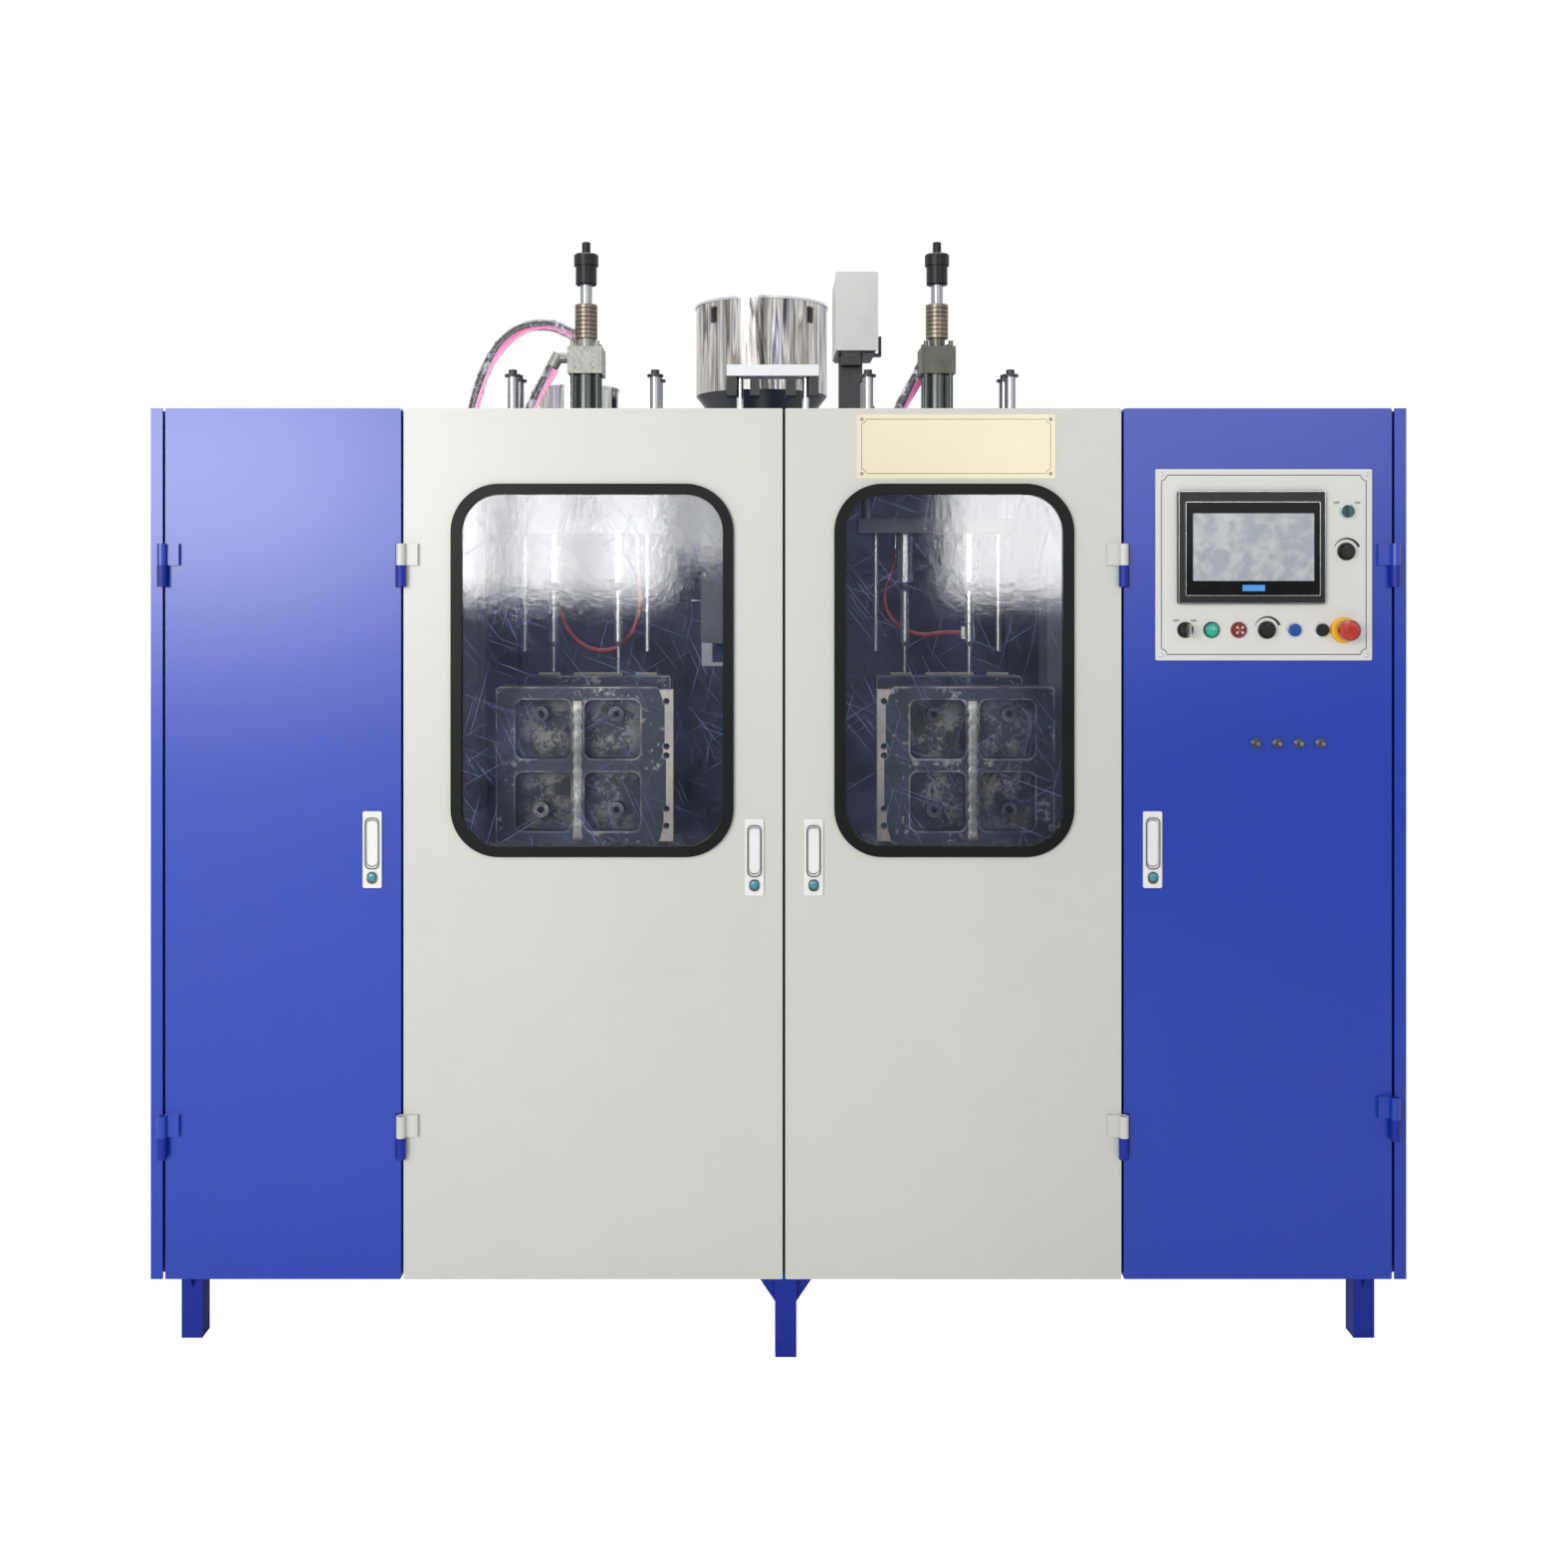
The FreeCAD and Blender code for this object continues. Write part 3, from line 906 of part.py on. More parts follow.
def latch(name, x, z):
    """A plate with a recess for the pull lever, a lock below it and a tray behind the skin."""
    plate = slab(f"{name}_plate", x, "door_front_y - latch_proud", z, "latch_wide", "latch_tall",
                 "latch_proud + 0.5", "3")
    tray = slab(f"{name}_tray", x, "door_front_y + door_skin / 2", f"{z} + recess_lift",
                "lever_wide + 2 * lever_clear + 2 * tray_wall",
                "lever_tall + 2 * lever_end + 2 * tray_wall", "recess_deep", "lever_wide / 2")
    recess = slab(f"{name}_recess", x, "door_front_y - latch_proud - 1", f"{z} + recess_lift",
                  "lever_wide + 2 * lever_clear", "lever_tall + 2 * lever_end",
                  "recess_deep + latch_proud + 1 + door_skin / 2 - tray_wall",
                  "lever_wide / 2 + lever_clear - 0.5")
    lock = round_bar(f"{name}_lock", "y", x, "door_front_y - latch_proud - lock_proud",
                     f"{z} - lock_drop", "lock_dia", "lock_proud + 1")
    tongue = box(f"{name}_tongue", f"{x} - 11", "door_front_y + door_skin - 0.5",
                 f"{z} - lock_drop - 14", "22", "12", "24")
    pivot_bore = round_bar(f"{name}_pivot_bore", "x", f"{x} - lever_wide / 2 - 0.5", LEVER_PIN_Y,
                           f"{z} + {LEVER_PIN_RISE}", "lever_pin_dia + 0.2", "lever_wide + 1")
    return [plate, tray, lock, tongue], (recess, pivot_bore)


def pull_lever(name, x, z):
    """The lever fills the recess and swings up on a cross pin near its top."""
    handle = slab(f"{name}_handle", x, "door_front_y - latch_proud + 0.5",
                  f"{z} + recess_lift", "lever_wide", "lever_tall", "lever_thick",
                  "lever_wide / 2 - 0.5")
    pin = round_bar(f"{name}_pin", "x", f"{x} - lever_wide / 2", LEVER_PIN_Y,
                    f"{z} + {LEVER_PIN_RISE}", "lever_pin_dia", "lever_wide")
    return fuse(name, handle, pin)


def window_parts(name, x, wide):
    """The hole in the door, the rubber round it and the pane that the rubber holds."""
    hole = slab(f"{name}_window_hole", x, "door_front_y - 1", "window_mid", wide, "window_tall",
                "door_depth", "window_corner")
    lip = slab(f"{name}_seal_lip", x, "door_front_y - seal_proud", "window_mid",
               f"{wide} + 2 * seal_lap", "window_tall + 2 * seal_lap", "seal_proud",
               "window_corner + seal_lap")
    back = slab(f"{name}_seal_back", x, "door_front_y + door_skin", "window_mid",
                f"{wide} + 2 * seal_lap - 4", "window_tall + 2 * seal_lap - 4", "seal_proud",
                "window_corner + seal_lap - 2")
    neck = slab(f"{name}_seal_neck", x, "door_front_y - 1", "window_mid",
                f"{wide} - 2 * seal_fit", "window_tall - 2 * seal_fit", "door_skin + 2",
                "window_corner - seal_fit")
    sight = slab(f"{name}_seal_sight", x, "door_front_y - seal_proud - 1", "window_mid",
                 f"{wide} - 2 * seal_lap", "window_tall - 2 * seal_lap",
                 "2 * seal_proud + door_skin + 2", "window_corner - seal_lap")
    pane_y = "door_front_y + (door_skin - pane_thick) / 2"
    groove = slab(f"{name}_seal_groove", x, pane_y, "window_mid",
                  f"{wide} - 2 * seal_lap + 2 * pane_grip",
                  "window_tall - 2 * seal_lap + 2 * pane_grip", "pane_thick",
                  "window_corner - seal_lap + pane_grip")
    seal = cut(f"{name}_window_seal", fuse(f"{name}_seal_body", lip, back, neck), sight, groove)
    pane = slab(f"{name}_window_pane", x, pane_y, "window_mid",
                f"{wide} - 2 * seal_lap + 2 * pane_grip - 2 * seal_fit",
                "window_tall - 2 * seal_lap + 2 * pane_grip - 2 * seal_fit", "pane_thick",
                "window_corner - seal_lap + pane_grip - seal_fit")
    return hole, seal, pane


DOORS = {
    "left_cabinet_door": {"low": f"-outer_hinge_x + {GAP}", "high": f"left_split - {GAP}",
                          "hinge": "-outer_hinge_x", "levels": ("hinge_low", "hinge_high"),
                          "toward": 1, "latch": ("left_split - latch_set", "blue_latch_mid"),
                          "reliefs": (("left_split", "hinge_low"), ("left_split", "hinge_high"))},
    "left_guard_door": {"low": f"left_split + {GAP}", "high": f"centre_split - {GAP}",
                        "hinge": "left_split", "levels": ("hinge_low", "hinge_high"),
                        "toward": 1, "latch": ("centre_split - latch_set", "latch_mid"),
                        "window": ("left_window_x", "left_window_wide")},
    "right_guard_door": {"low": f"centre_split + {GAP}", "high": f"right_split - {GAP}",
                         "hinge": "right_split", "levels": ("hinge_low", "hinge_high"),
                         "toward": -1, "latch": ("centre_split + latch_set", "latch_mid"),
                         "window": ("right_window_x", "right_window_wide")},
    "control_door": {"low": f"right_split + {GAP}", "high": f"outer_hinge_x - {GAP}",
                     "hinge": "outer_hinge_x", "levels": ("right_hinge_low", "hinge_high"),
                     "toward": -1, "latch": ("right_split + latch_set", "blue_latch_mid"),
                     "reliefs": (("right_split", "hinge_low"), ("right_split", "hinge_high"))},
}

for name, door in DOORS.items():
    pieces = [door_pan(name, door["low"], door["high"], door.get("reliefs", ()))]
    halves = [hinge_door_half(f"{name}_{level}", door["hinge"], level, door["toward"])
              for level in door["levels"]]
    latch_x, latch_z = door["latch"]
    latch_pieces, latch_holes = latch(f"{name}_latch", latch_x, latch_z)
    pieces += latch_pieces
    holes = list(latch_holes)
    if "window" in door:
        side = name.split("_")[0]
        hole, seal, pane = window_parts(side, *door["window"])
        holes.append(hole)
        node(f"{side}_window_seal", seal)
        node(f"{side}_window_pane", pane)
    panel = cut(f"{name}_panel", fuse(f"{name}_body", *pieces), *holes)
    node(name, group(name, panel, *halves))
    node(f"{name}_lever", pull_lever(f"{name}_lever", latch_x, latch_z))

# ---------------------------------------------------------------- control panel
PLATE_Y = "(door_front_y - control_thick)"
control = slab("control_sheet", "control_x", PLATE_Y, "control_z", "control_wide",
               "control_tall", "control_thick", "3")
node("control_plate", control)
hmi_body = slab("hmi_body", "hmi_x", f"{PLATE_Y} - hmi_proud", "hmi_z", "hmi_wide", "hmi_tall",
                "hmi_proud", "5")
hmi_screen = slab("hmi_screen", "hmi_x", f"{PLATE_Y} - hmi_proud - 1", "hmi_z - 4",
                  "hmi_wide - 50", "hmi_tall - 84", "2.5", "1")
node("hmi_unit", cut("hmi_unit", hmi_body, hmi_screen))

SWITCHES = {
    "selector": ("selector_x", "selector_z"), "key": ("key_x", "row_z"),
    "reset": ("reset_x", "row_z"), "run": ("run_x", "row_z"),
}
bezels = []
for name, (x, z) in SWITCHES.items():
    bezels.append(turned(f"{name}_bezel", (
        ("cap_head_dia / 2", "0"), ("bezel_dia / 2", "0"), ("bezel_dia / 2", "2"),
        ("bezel_dia / 2 - 2", "bezel_proud"), ("cap_head_dia / 2", "bezel_proud")),
        x, PLATE_Y, z, lean=TO_FRONT))
bezels.append(turned("lamp_lens", (
    ("0", "0"), ("bezel_dia / 2", "0"), ("bezel_dia / 2", "3"), ("bezel_dia / 2 - 2", "5"),
    ("11", "5"), ("10", "11"), ("6", "14"), ("0", "15")), "lamp_x", PLATE_Y, "row_z",
    lean=TO_FRONT))
buzzer_body = turned("buzzer_body", (
    ("0", "0"), ("bezel_dia / 2", "0"), ("bezel_dia / 2", "3"), ("bezel_dia / 2 - 2", "6"),
    ("11", "6"), ("11", "9"), ("0", "9")), "buzzer_x", PLATE_Y, "row_z", lean=TO_FRONT)
buzzer_slots = [box(f"buzzer_slot_{place}", f"buzzer_x {shift_x} - 2", f"{PLATE_Y} - 10",
                    f"row_z {shift_z} - 2", "4", "3", "4")
                for place, (shift_x, shift_z) in
                enumerate((("+ 5", ""), ("- 5", ""), ("", "+ 5"), ("", "- 5")), start=1)]
bezels.append(cut("buzzer", buzzer_body, *buzzer_slots))
bezels.append(turned("estop_collar", (
    ("11", "0"), ("estop_collar_dia / 2", "0"), ("estop_collar_dia / 2", "9"),
    ("estop_collar_dia / 2 - 4", "14"), ("11", "14")), "estop_x", PLATE_Y, "row_z",
    lean=TO_FRONT))
for number in range(4):
    bezels.append(turned(f"valve_stem_{number + 1}", (
        ("0", "0"), ("stem_base_dia / 2", "0"), ("stem_base_dia / 2", "3"),
        ("stem_dia / 2 + 1", "5"), ("stem_dia / 2 - 2", "6"), ("stem_dia / 2 - 2", "11"),
        ("stem_dia / 2", "12"), ("stem_dia / 2", "17"), ("stem_dia / 2 - 1.5", "18.5"),
        ("0", "18.5")), f"stem_first + {number} * stem_pitch", "door_front_y", "stem_z",
        lean=TO_FRONT))
node("switch_bezels", group("switch_bezels", *bezels))

HEAD_DIA = "cap_head_dia - 2 * button_fit"


def y_disc(name, x, z, dia, back, front):
    """A disc facing the operator, from one distance before the plate to another."""
    return round_bar(name, "y", x, f"{PLATE_Y} - ({front})", z, dia, f"({front}) - ({back})")


selector = fuse("selector_turn", y_disc("selector_disc", "selector_x", "selector_z", HEAD_DIA,
                                        "button_fit", "8"),
                box("selector_grip", "selector_x - 3", f"{PLATE_Y} - 18", "selector_z - 10.5",
                    "6", "11", "21"))
node("selector_knob", selector)
key = fuse("key_turn", y_disc("key_barrel", "key_x", "row_z", HEAD_DIA, "button_fit", "9"),
           box("key_blade", "key_x - 1", f"{PLATE_Y} - 20", "row_z - 4", "2", "12", "8"),
           box("key_bow", "key_x - 1.25", f"{PLATE_Y} - 38", "row_z - 11", "2.5",
               "19", "22"))
node("start_key", key)
for name, x, z in (("speed_knob", "speed_x", "speed_z"), ("cutter_knob", "cutter_x", "row_z")):
    knob = turned(f"{name}_body", (
        ("0", "button_fit"), ("knob_dia / 2", "button_fit"), ("knob_dia / 2", "3"),
        ("knob_dia / 2 - 4", "4"), ("knob_dia / 2 - 5", "16"), ("knob_dia / 2 - 7", "18"),
        ("0", "18")), x, PLATE_Y, z, lean=TO_FRONT)
    pointer = box(f"{name}_pointer", f"{x} - 1", f"{PLATE_Y} - 18.8", f"{z} + 2", "2", "2",
                  "knob_dia / 2 - 8")
    node(name, fuse(name, knob, pointer))
for name, x in (("reset_button", "reset_x"), ("run_button", "run_x")):
    node(name, turned(name, (
        ("0", "button_travel + button_fit"), (f"({HEAD_DIA}) / 2", "button_travel + button_fit"),
        (f"({HEAD_DIA}) / 2", "bezel_proud + button_travel"),
        (f"({HEAD_DIA}) / 2 - 1.5", "bezel_proud + button_travel + 1.5"),
        ("0", "bezel_proud + button_travel + 1.5")), x, PLATE_Y, "row_z", lean=TO_FRONT))
node("estop_head", turned("estop_mushroom", (
    ("0", "button_travel + 1"), ("11 - button_fit", "button_travel + 1"),
    ("11 - button_fit", "estop_proud - 24"), ("estop_dia / 2 - 1", "estop_proud - 20"),
    ("estop_dia / 2", "estop_proud - 16"), ("estop_dia / 2 - 1", "estop_proud - 6"),
    ("estop_dia / 2 - 5", "estop_proud - 1.5"), ("estop_dia / 2 - 11", "estop_proud"),
    ("0", "estop_proud")), "estop_x", PLATE_Y, "row_z", lean=TO_FRONT))
node("name_plate", slab("maker_plate", "name_x", "door_front_y - 1.5", "name_z", "name_wide",
                        "name_tall", "1.5", "2"))

# ---------------------------------------------------------------- hydraulic and electric units
FLOOR_Z = "door_bottom + tube"
TANK_TOP = f"{FLOOR_Z} + tank_tall"
tank = slab("oil_tank", "tank_x", f"{POST_Y} + tube + 60", f"{FLOOR_Z} + tank_tall / 2",
            "tank_wide", "tank_tall", "tank_deep", "8")
pump_motor = turned("pump_motor", (
    ("0", "0"), ("pump_dia / 2 + 25", "0"), ("pump_dia / 2 + 25", "pump_foot"),
    ("pump_dia / 2 - 20", "pump_foot"), ("pump_dia / 2 - 20", "pump_bell"),
    ("pump_dia / 2 + 8", "pump_bell"), ("pump_dia / 2 + 8", "pump_bell + pump_foot"),
    ("pump_dia / 2", "pump_bell + pump_foot"), ("pump_dia / 2", "pump_body"),
    ("pump_dia / 2 + 5", "pump_body"), ("pump_dia / 2 + 5", "pump_tall - 15"),
    ("pump_dia / 2 - 25", "pump_tall"), ("0", "pump_tall")),
    "tank_x - 40", "mould_y - 60", f"{TANK_TOP} - 1")
manifold = box("oil_manifold", "tank_x - manifold_wide / 3", "mould_y + manifold_set",
               f"{TANK_TOP} - 1", "manifold_wide", "manifold_deep", "manifold_tall")
valves = [box(f"oil_valve_{number}", f"tank_x - 50 + {number} * valve_pitch",
              "mould_y + manifold_set + 10", f"{TANK_TOP} + manifold_tall - 2",
              "valve_pitch - 11", "manifold_deep - 20", "valve_tall") for number in range(3)]
filler = round_bar("tank_filler", "z", "tank_x + filler_shift", "mould_y - filler_shift",
                   f"{TANK_TOP} - 1", "filler_dia", "filler_dia")
node("hydraulic_unit", fuse("hydraulic_unit", tank, pump_motor, manifold, filler, *valves))

plate_x, plate_wide = "right_split + tube / 2", f"{INNER_X} - right_split - tube / 2 - 4"
PLATE_SHEET_Y = "door_front_y + plate_set"
mount_sheet = box("mount_sheet", plate_x, PLATE_SHEET_Y, FLOOR_Z, plate_wide, "panel_sheet",
                  "door_tall - plate_headroom")
device_pitch = f"(({plate_wide} - device_left - device_right + device_gap) / device_columns)"
rows = []
for kind in ("drive", "relay", "timer", "breaker", "terminal"):
    for column in range(int(size("device_columns"))):
        rows.append(box(f"{kind}_{column}", f"{plate_x} + device_left + {column} * {device_pitch}",
                        f"{PLATE_SHEET_Y} - {kind}_deep", f"{FLOOR_Z} + {kind}_low",
                        f"{device_pitch} - device_gap", f"{kind}_deep + 1", f"{kind}_tall"))
node("electric_plate", fuse("electric_plate", mount_sheet, *rows))

# ---------------------------------------------------------------- mould carriages and platens
RESTS = {"left": "core_x - left_rest", "right": "core_x + right_rest"}
DECK_LOW = "bed_top + rail_tall + rail_clear"
DECK_TOP = f"{DECK_LOW} + deck_thick"
FRONT_Y = "mould_y - face_open - platen_thick"
REAR_Y = "mould_y + face_open"
PLATEN_MID = "platen_low + platen_tall / 2"
TOWER_Y = "mould_y + tower_set"


def guide_bores(name, x, y, long):
    return [round_bar(f"{name}_slide_{place}", "y", f"{x} {sign} guide_bar_x", f"{y} - 1",
                      "guide_bar_z", "guide_bar_dia + 2 * slide_play", f"{long} + 2")
            for place, sign in (("left", "-"), ("right", "+"))]


def casting(name, x, y, pocket_front):
    """A ribbed platen on a foot: four rounded pockets in one face, a plain mould face opposite."""
    plate = slab(f"{name}_plate", x, y, PLATEN_MID, "platen_wide", "platen_tall", "platen_thick",
                 "8")
    foot = box(f"{name}_foot", f"{x} - foot_half", y, "foot_low", "foot_half * 2",
               "platen_thick", "platen_low - foot_low + 4")
    pocket_y = f"{y} - 1" if pocket_front else f"{y} + platen_skin"
    pockets, bosses, holes = [], [], []
    for number, (across, up) in enumerate(GUIDE_SIGNS, start=1):
        pockets.append(slab(f"{name}_pocket_{number}", f"{x} + {across} * pocket_pitch_x / 2",
                            pocket_y, f"{PLATEN_MID} + {up} * pocket_pitch_z / 2",
                            "pocket_wide", "pocket_tall", "platen_thick - platen_skin + 1",
                            "pocket_corner"))
        at = (f"{x} + {across} * boss_dx", f"{PLATEN_MID} + boss_rise + {up} * boss_dz")
        bosses.append(round_bar(f"{name}_boss_{number}", "y", at[0], f"{y} + 14", at[1],
                                "boss_dia", "platen_thick - 28"))
        holes.append(round_bar(f"{name}_hole_{number}", "y", at[0], f"{y} - 1", at[1],
                               "boss_hole", "platen_thick + 2"))
    hollowed = cut(f"{name}_hollowed", plate, *pockets)
    return fuse(f"{name}_solid", hollowed, foot, *bosses), holes


for side, x in RESTS.items():
    deck = box(f"{side}_deck", f"{x} - deck_wide / 2", "mould_y - deck_front", DECK_LOW,
               "deck_wide", "deck_front + deck_back", "deck_thick")
    opening = box(f"{side}_deck_opening", f"{x} - chute_wide / 2", "mould_y - 100",
                  f"{DECK_LOW} - 1", "chute_wide", "200", "deck_thick + 2")
    carriage, channels = [deck], [opening]
    for number, sign in enumerate("-+", start=1):
        rail_y = f"mould_y {sign} rail_pitch / 2"
        for place, shift in (("a", "- deck_wide / 2"), ("b", "+ deck_wide / 2 - 70")):
            carriage.append(box(f"{side}_shoe_{number}{place}", f"{x} {shift}",
                                f"{rail_y} - rail_wide / 2 - 14", "bed_top + 4", "70",
                                "rail_wide + 28", "rail_tall + rail_clear - 3"))
        channels.append(box(f"{side}_channel_{number}", f"{x} - deck_wide",
                            f"{rail_y} - rail_wide / 2 - rail_clear", "bed_top",
                            "deck_wide * 2", "rail_wide + 2 * rail_clear",
                            "rail_tall + rail_clear"))
    for place, y in (("front", "mould_y - deck_front"),
                     ("back", f"{REAR_Y} + platen_thick + guide_block / 2")):
        carriage.append(box(f"{side}_guide_block_{place}", f"{x} - foot_half", y,
                            f"{DECK_TOP} - 1", "foot_half * 2", "guide_block",
                            f"guide_bar_z + guide_bar_dia * 0.75 - ({DECK_TOP}) + 1"))
    for place, sign in (("left", "-"), ("right", "+")):
        carriage.append(round_bar(f"{side}_guide_bar_{place}", "y", f"{x} {sign} guide_bar_x",
                                  "mould_y - deck_front + 2", "guide_bar_z", "guide_bar_dia",
                                  f"({REAR_Y}) - mould_y + platen_thick + guide_block + "
                                  "deck_front"))
        carriage.append(padded(f"{side}_tower_web_{place}", "YZ_Plane", (
            ("0", "0"), ("120", "0"), ("120", "20"), ("0", "tower_high - 960")),
            f"{x} {sign} 110 - 10", f"{TOWER_Y} + tower_thick - 1", f"{DECK_TOP} - 1", "20"))
    carriage.append(box(f"{side}_tower", f"{x} - 140", TOWER_Y, f"{DECK_TOP} - 1", "280",
                        "tower_thick", f"tower_high - ({DECK_TOP}) + 1"))
    carriage.append(box(f"{side}_deck_tail", f"{x} - 140", "mould_y + deck_back - 1", DECK_LOW,
                        "280", "120", "deck_thick"))
    carriage.append(round_bar(f"{side}_clamp_cylinder", "y", x, f"{TOWER_Y} + tower_thick - 1",
                              "clamp_z", "clamp_dia", "clamp_long + 1"))
    carriage.append(box(f"{side}_clamp_cap", f"{x} - 68", f"{TOWER_Y} + tower_thick + clamp_long",
                        "clamp_z - 68", "136", "26", "136"))
    channels.append(round_bar(f"{side}_clamp_bore", "y", x, f"{TOWER_Y} - 1", "clamp_z",
                              "clamp_rod_dia + 2 * slide_play",
                              "tower_thick + rod_tail + 12"))
    node(f"{side}_carriage", cut(f"{side}_carriage", fuse(f"{side}_carriage_body", *carriage),
                                 *channels))

    front, holes = casting(f"{side}_front", x, FRONT_Y, True)
    bar_x = f"{x} + platen_wide / 2" if side == "left" else f"{x} - platen_wide / 2 - bar_wide"
    bar = box(f"{side}_edge_bar", bar_x, FRONT_Y, f"{PLATEN_MID} - bar_tall / 2", "bar_wide",
              "bar_thick", "bar_tall")
    for number, rise in enumerate((-120, -86, 20, 38, 128), start=1):
        holes.append(round_bar(f"{side}_bar_hole_{number}", "y", f"{bar_x} + bar_wide / 2",
                               f"{FRONT_Y} - 1", f"{PLATEN_MID} + {rise}", "13", "bar_thick + 2"))
    node(f"{side}_front_platen", cut(f"{side}_front_platen", fuse(
        f"{side}_front_body", front, bar), *holes,
        *guide_bores(f"{side}_front", x, FRONT_Y, "platen_thick")))

    rear, holes = casting(f"{side}_rear", x, REAR_Y, False)
    rod = round_bar(f"{side}_clamp_rod", "y", x, f"{REAR_Y} + platen_skin - 1", "clamp_z",
                    "clamp_rod_dia",
                    f"{TOWER_Y} + tower_thick + rod_tail - ({REAR_Y}) - platen_skin + 1")
    rod_head = round_bar(f"{side}_rod_head", "y", x, f"{REAR_Y} + platen_thick - 1", "clamp_z",
                         "clamp_rod_dia * 1.8", "23")
    solid_rear = cut(f"{side}_rear_cut", rear, *holes,
                     *guide_bores(f"{side}_rear", x, REAR_Y, "platen_thick"))
    node(f"{side}_rear_platen", fuse(f"{side}_rear_platen", solid_rear, rod, rod_head))

# the hot knife slides under the die head to cut the tubes of melt
KNIFE_Z = "die_low - die_bush_tall - 12"
KNIFE_Y = "mould_y - die_deep / 2 + 2"
knife_left, knife_right = (f"core_x + die_shift {side} (die_wide / 2 - 2)" for side in "-+")
knife = [box("knife_blade", knife_left, KNIFE_Y, KNIFE_Z, "die_wide - 4", "4", "8")]
for place, x in (("left", knife_left), ("right", f"{knife_right} - 22")):
    knife.append(box(f"knife_runner_{place}", x, KNIFE_Y, KNIFE_Z, "22", "50",
                     f"die_low - 0.3 - ({KNIFE_Z})"))
node("hot_knife", fuse("hot_knife", *knife))

# ---------------------------------------------------------------- check and write
doc.recompute()
for item in doc.Objects:
    if "Invalid" in item.State or "Error" in item.State:
        raise SystemExit(f"{item.Name} failed: {item.State}")
for item in nodes:
    if item.Shape.isNull() or not item.Shape.isValid():
        raise SystemExit(f"{item.Label} has no sound shape")
if len({item.Label for item in nodes}) != len(nodes):
    raise SystemExit("two sub-parts share a label")
os.makedirs("parts", exist_ok=True)
for item in nodes:
    item.Shape.exportStep(f"parts/{item.Label}.step")
print(len(nodes), "sub-parts written")
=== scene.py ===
import math
import bmesh
import bpy
from mathutils import Matrix, Vector


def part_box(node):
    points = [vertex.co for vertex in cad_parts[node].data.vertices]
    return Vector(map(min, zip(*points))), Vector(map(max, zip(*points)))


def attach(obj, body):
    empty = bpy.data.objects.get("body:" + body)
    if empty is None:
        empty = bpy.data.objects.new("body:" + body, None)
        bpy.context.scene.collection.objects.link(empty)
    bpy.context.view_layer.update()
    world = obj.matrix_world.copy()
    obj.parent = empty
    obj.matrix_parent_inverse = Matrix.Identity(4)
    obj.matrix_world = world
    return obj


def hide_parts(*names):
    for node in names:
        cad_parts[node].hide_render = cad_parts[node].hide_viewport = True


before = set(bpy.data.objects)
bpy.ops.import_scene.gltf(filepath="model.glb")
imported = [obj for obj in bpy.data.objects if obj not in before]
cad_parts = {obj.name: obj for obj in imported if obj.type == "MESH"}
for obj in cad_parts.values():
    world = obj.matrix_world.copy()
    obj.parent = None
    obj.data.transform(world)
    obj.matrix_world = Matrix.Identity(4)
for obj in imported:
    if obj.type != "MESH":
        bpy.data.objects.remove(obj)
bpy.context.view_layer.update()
scene = bpy.context.scene

# ------------------------------------------------------------------ the photograph's view
MM = 0.001
DOOR_FRONT_Y = -1002 * MM
CAMERA_BACK = 2850 * MM
CAMERA_X = -31.5 * MM
CAMERA_Z = 1446 * MM
FOCAL_PX = 1540
FRAME_PX = 1575
VANISH_X, VANISH_Y = 765, 590
SENSOR = 36

camera_data = bpy.data.cameras.new("camera")
camera = bpy.data.objects.new("camera", camera_data)
scene.collection.objects.link(camera)
camera.location = (CAMERA_X, DOOR_FRONT_Y - CAMERA_BACK, CAMERA_Z)
camera.rotation_euler = (math.radians(90), 0, 0)
camera_data.sensor_width = SENSOR
camera_data.lens = FOCAL_PX / FRAME_PX * SENSOR
camera_data.shift_x = (FRAME_PX / 2 - VANISH_X) / FRAME_PX
camera_data.shift_y = (VANISH_Y - FRAME_PX / 2) / FRAME_PX
camera_data.clip_end = 40
scene.camera = camera


# ------------------------------------------------------------------ small helpers
def new_material(name):
    material = bpy.data.materials.new(name)
    material.use_nodes = True
    tree = material.node_tree
    shader = tree.nodes["Principled BSDF"]
    return material, tree, shader


def add(tree, kind, **values):
    item = tree.nodes.new(kind)
    for key, value in values.items():
        if key in item.inputs:
            item.inputs[key].default_value = value
        else:
            setattr(item, key, value)
    return item


def join(tree, source, output, target, socket):
    tree.links.new(source.outputs[output], target.inputs[socket])


def noise(tree, source, output, **values):
    """A noise texture read through a coordinate output."""
    texture = add(tree, "ShaderNodeTexNoise", **values)
    join(tree, source, output, texture, "Vector")
    return texture


def spread(tree, source, output, low, high, start=0.0, end=1.0):
    """A node's value, taken from start..end to low..high."""
    node = add(tree, "ShaderNodeMapRange")
    for socket, value in (("From Min", start), ("From Max", end), ("To Min", low),
                          ("To Max", high)):
        node.inputs[socket].default_value = value
    join(tree, source, output, node, "Value")
    return node


def calculate(tree, operation, first, first_output, second, second_output, **values):
    """One step of arithmetic between two nodes' outputs."""
    node = add(tree, "ShaderNodeMath", operation=operation, **values)
    join(tree, first, first_output, node, 0)
    join(tree, second, second_output, node, 1)
    return node


def bump(tree, height, strength, distance, shader):
    """Relief from a texture's factor on a shader."""
    relief = add(tree, "ShaderNodeBump", Strength=strength, Distance=distance)
    join(tree, height, "Fac", relief, "Height")
    join(tree, relief, "Normal", shader, "Normal")


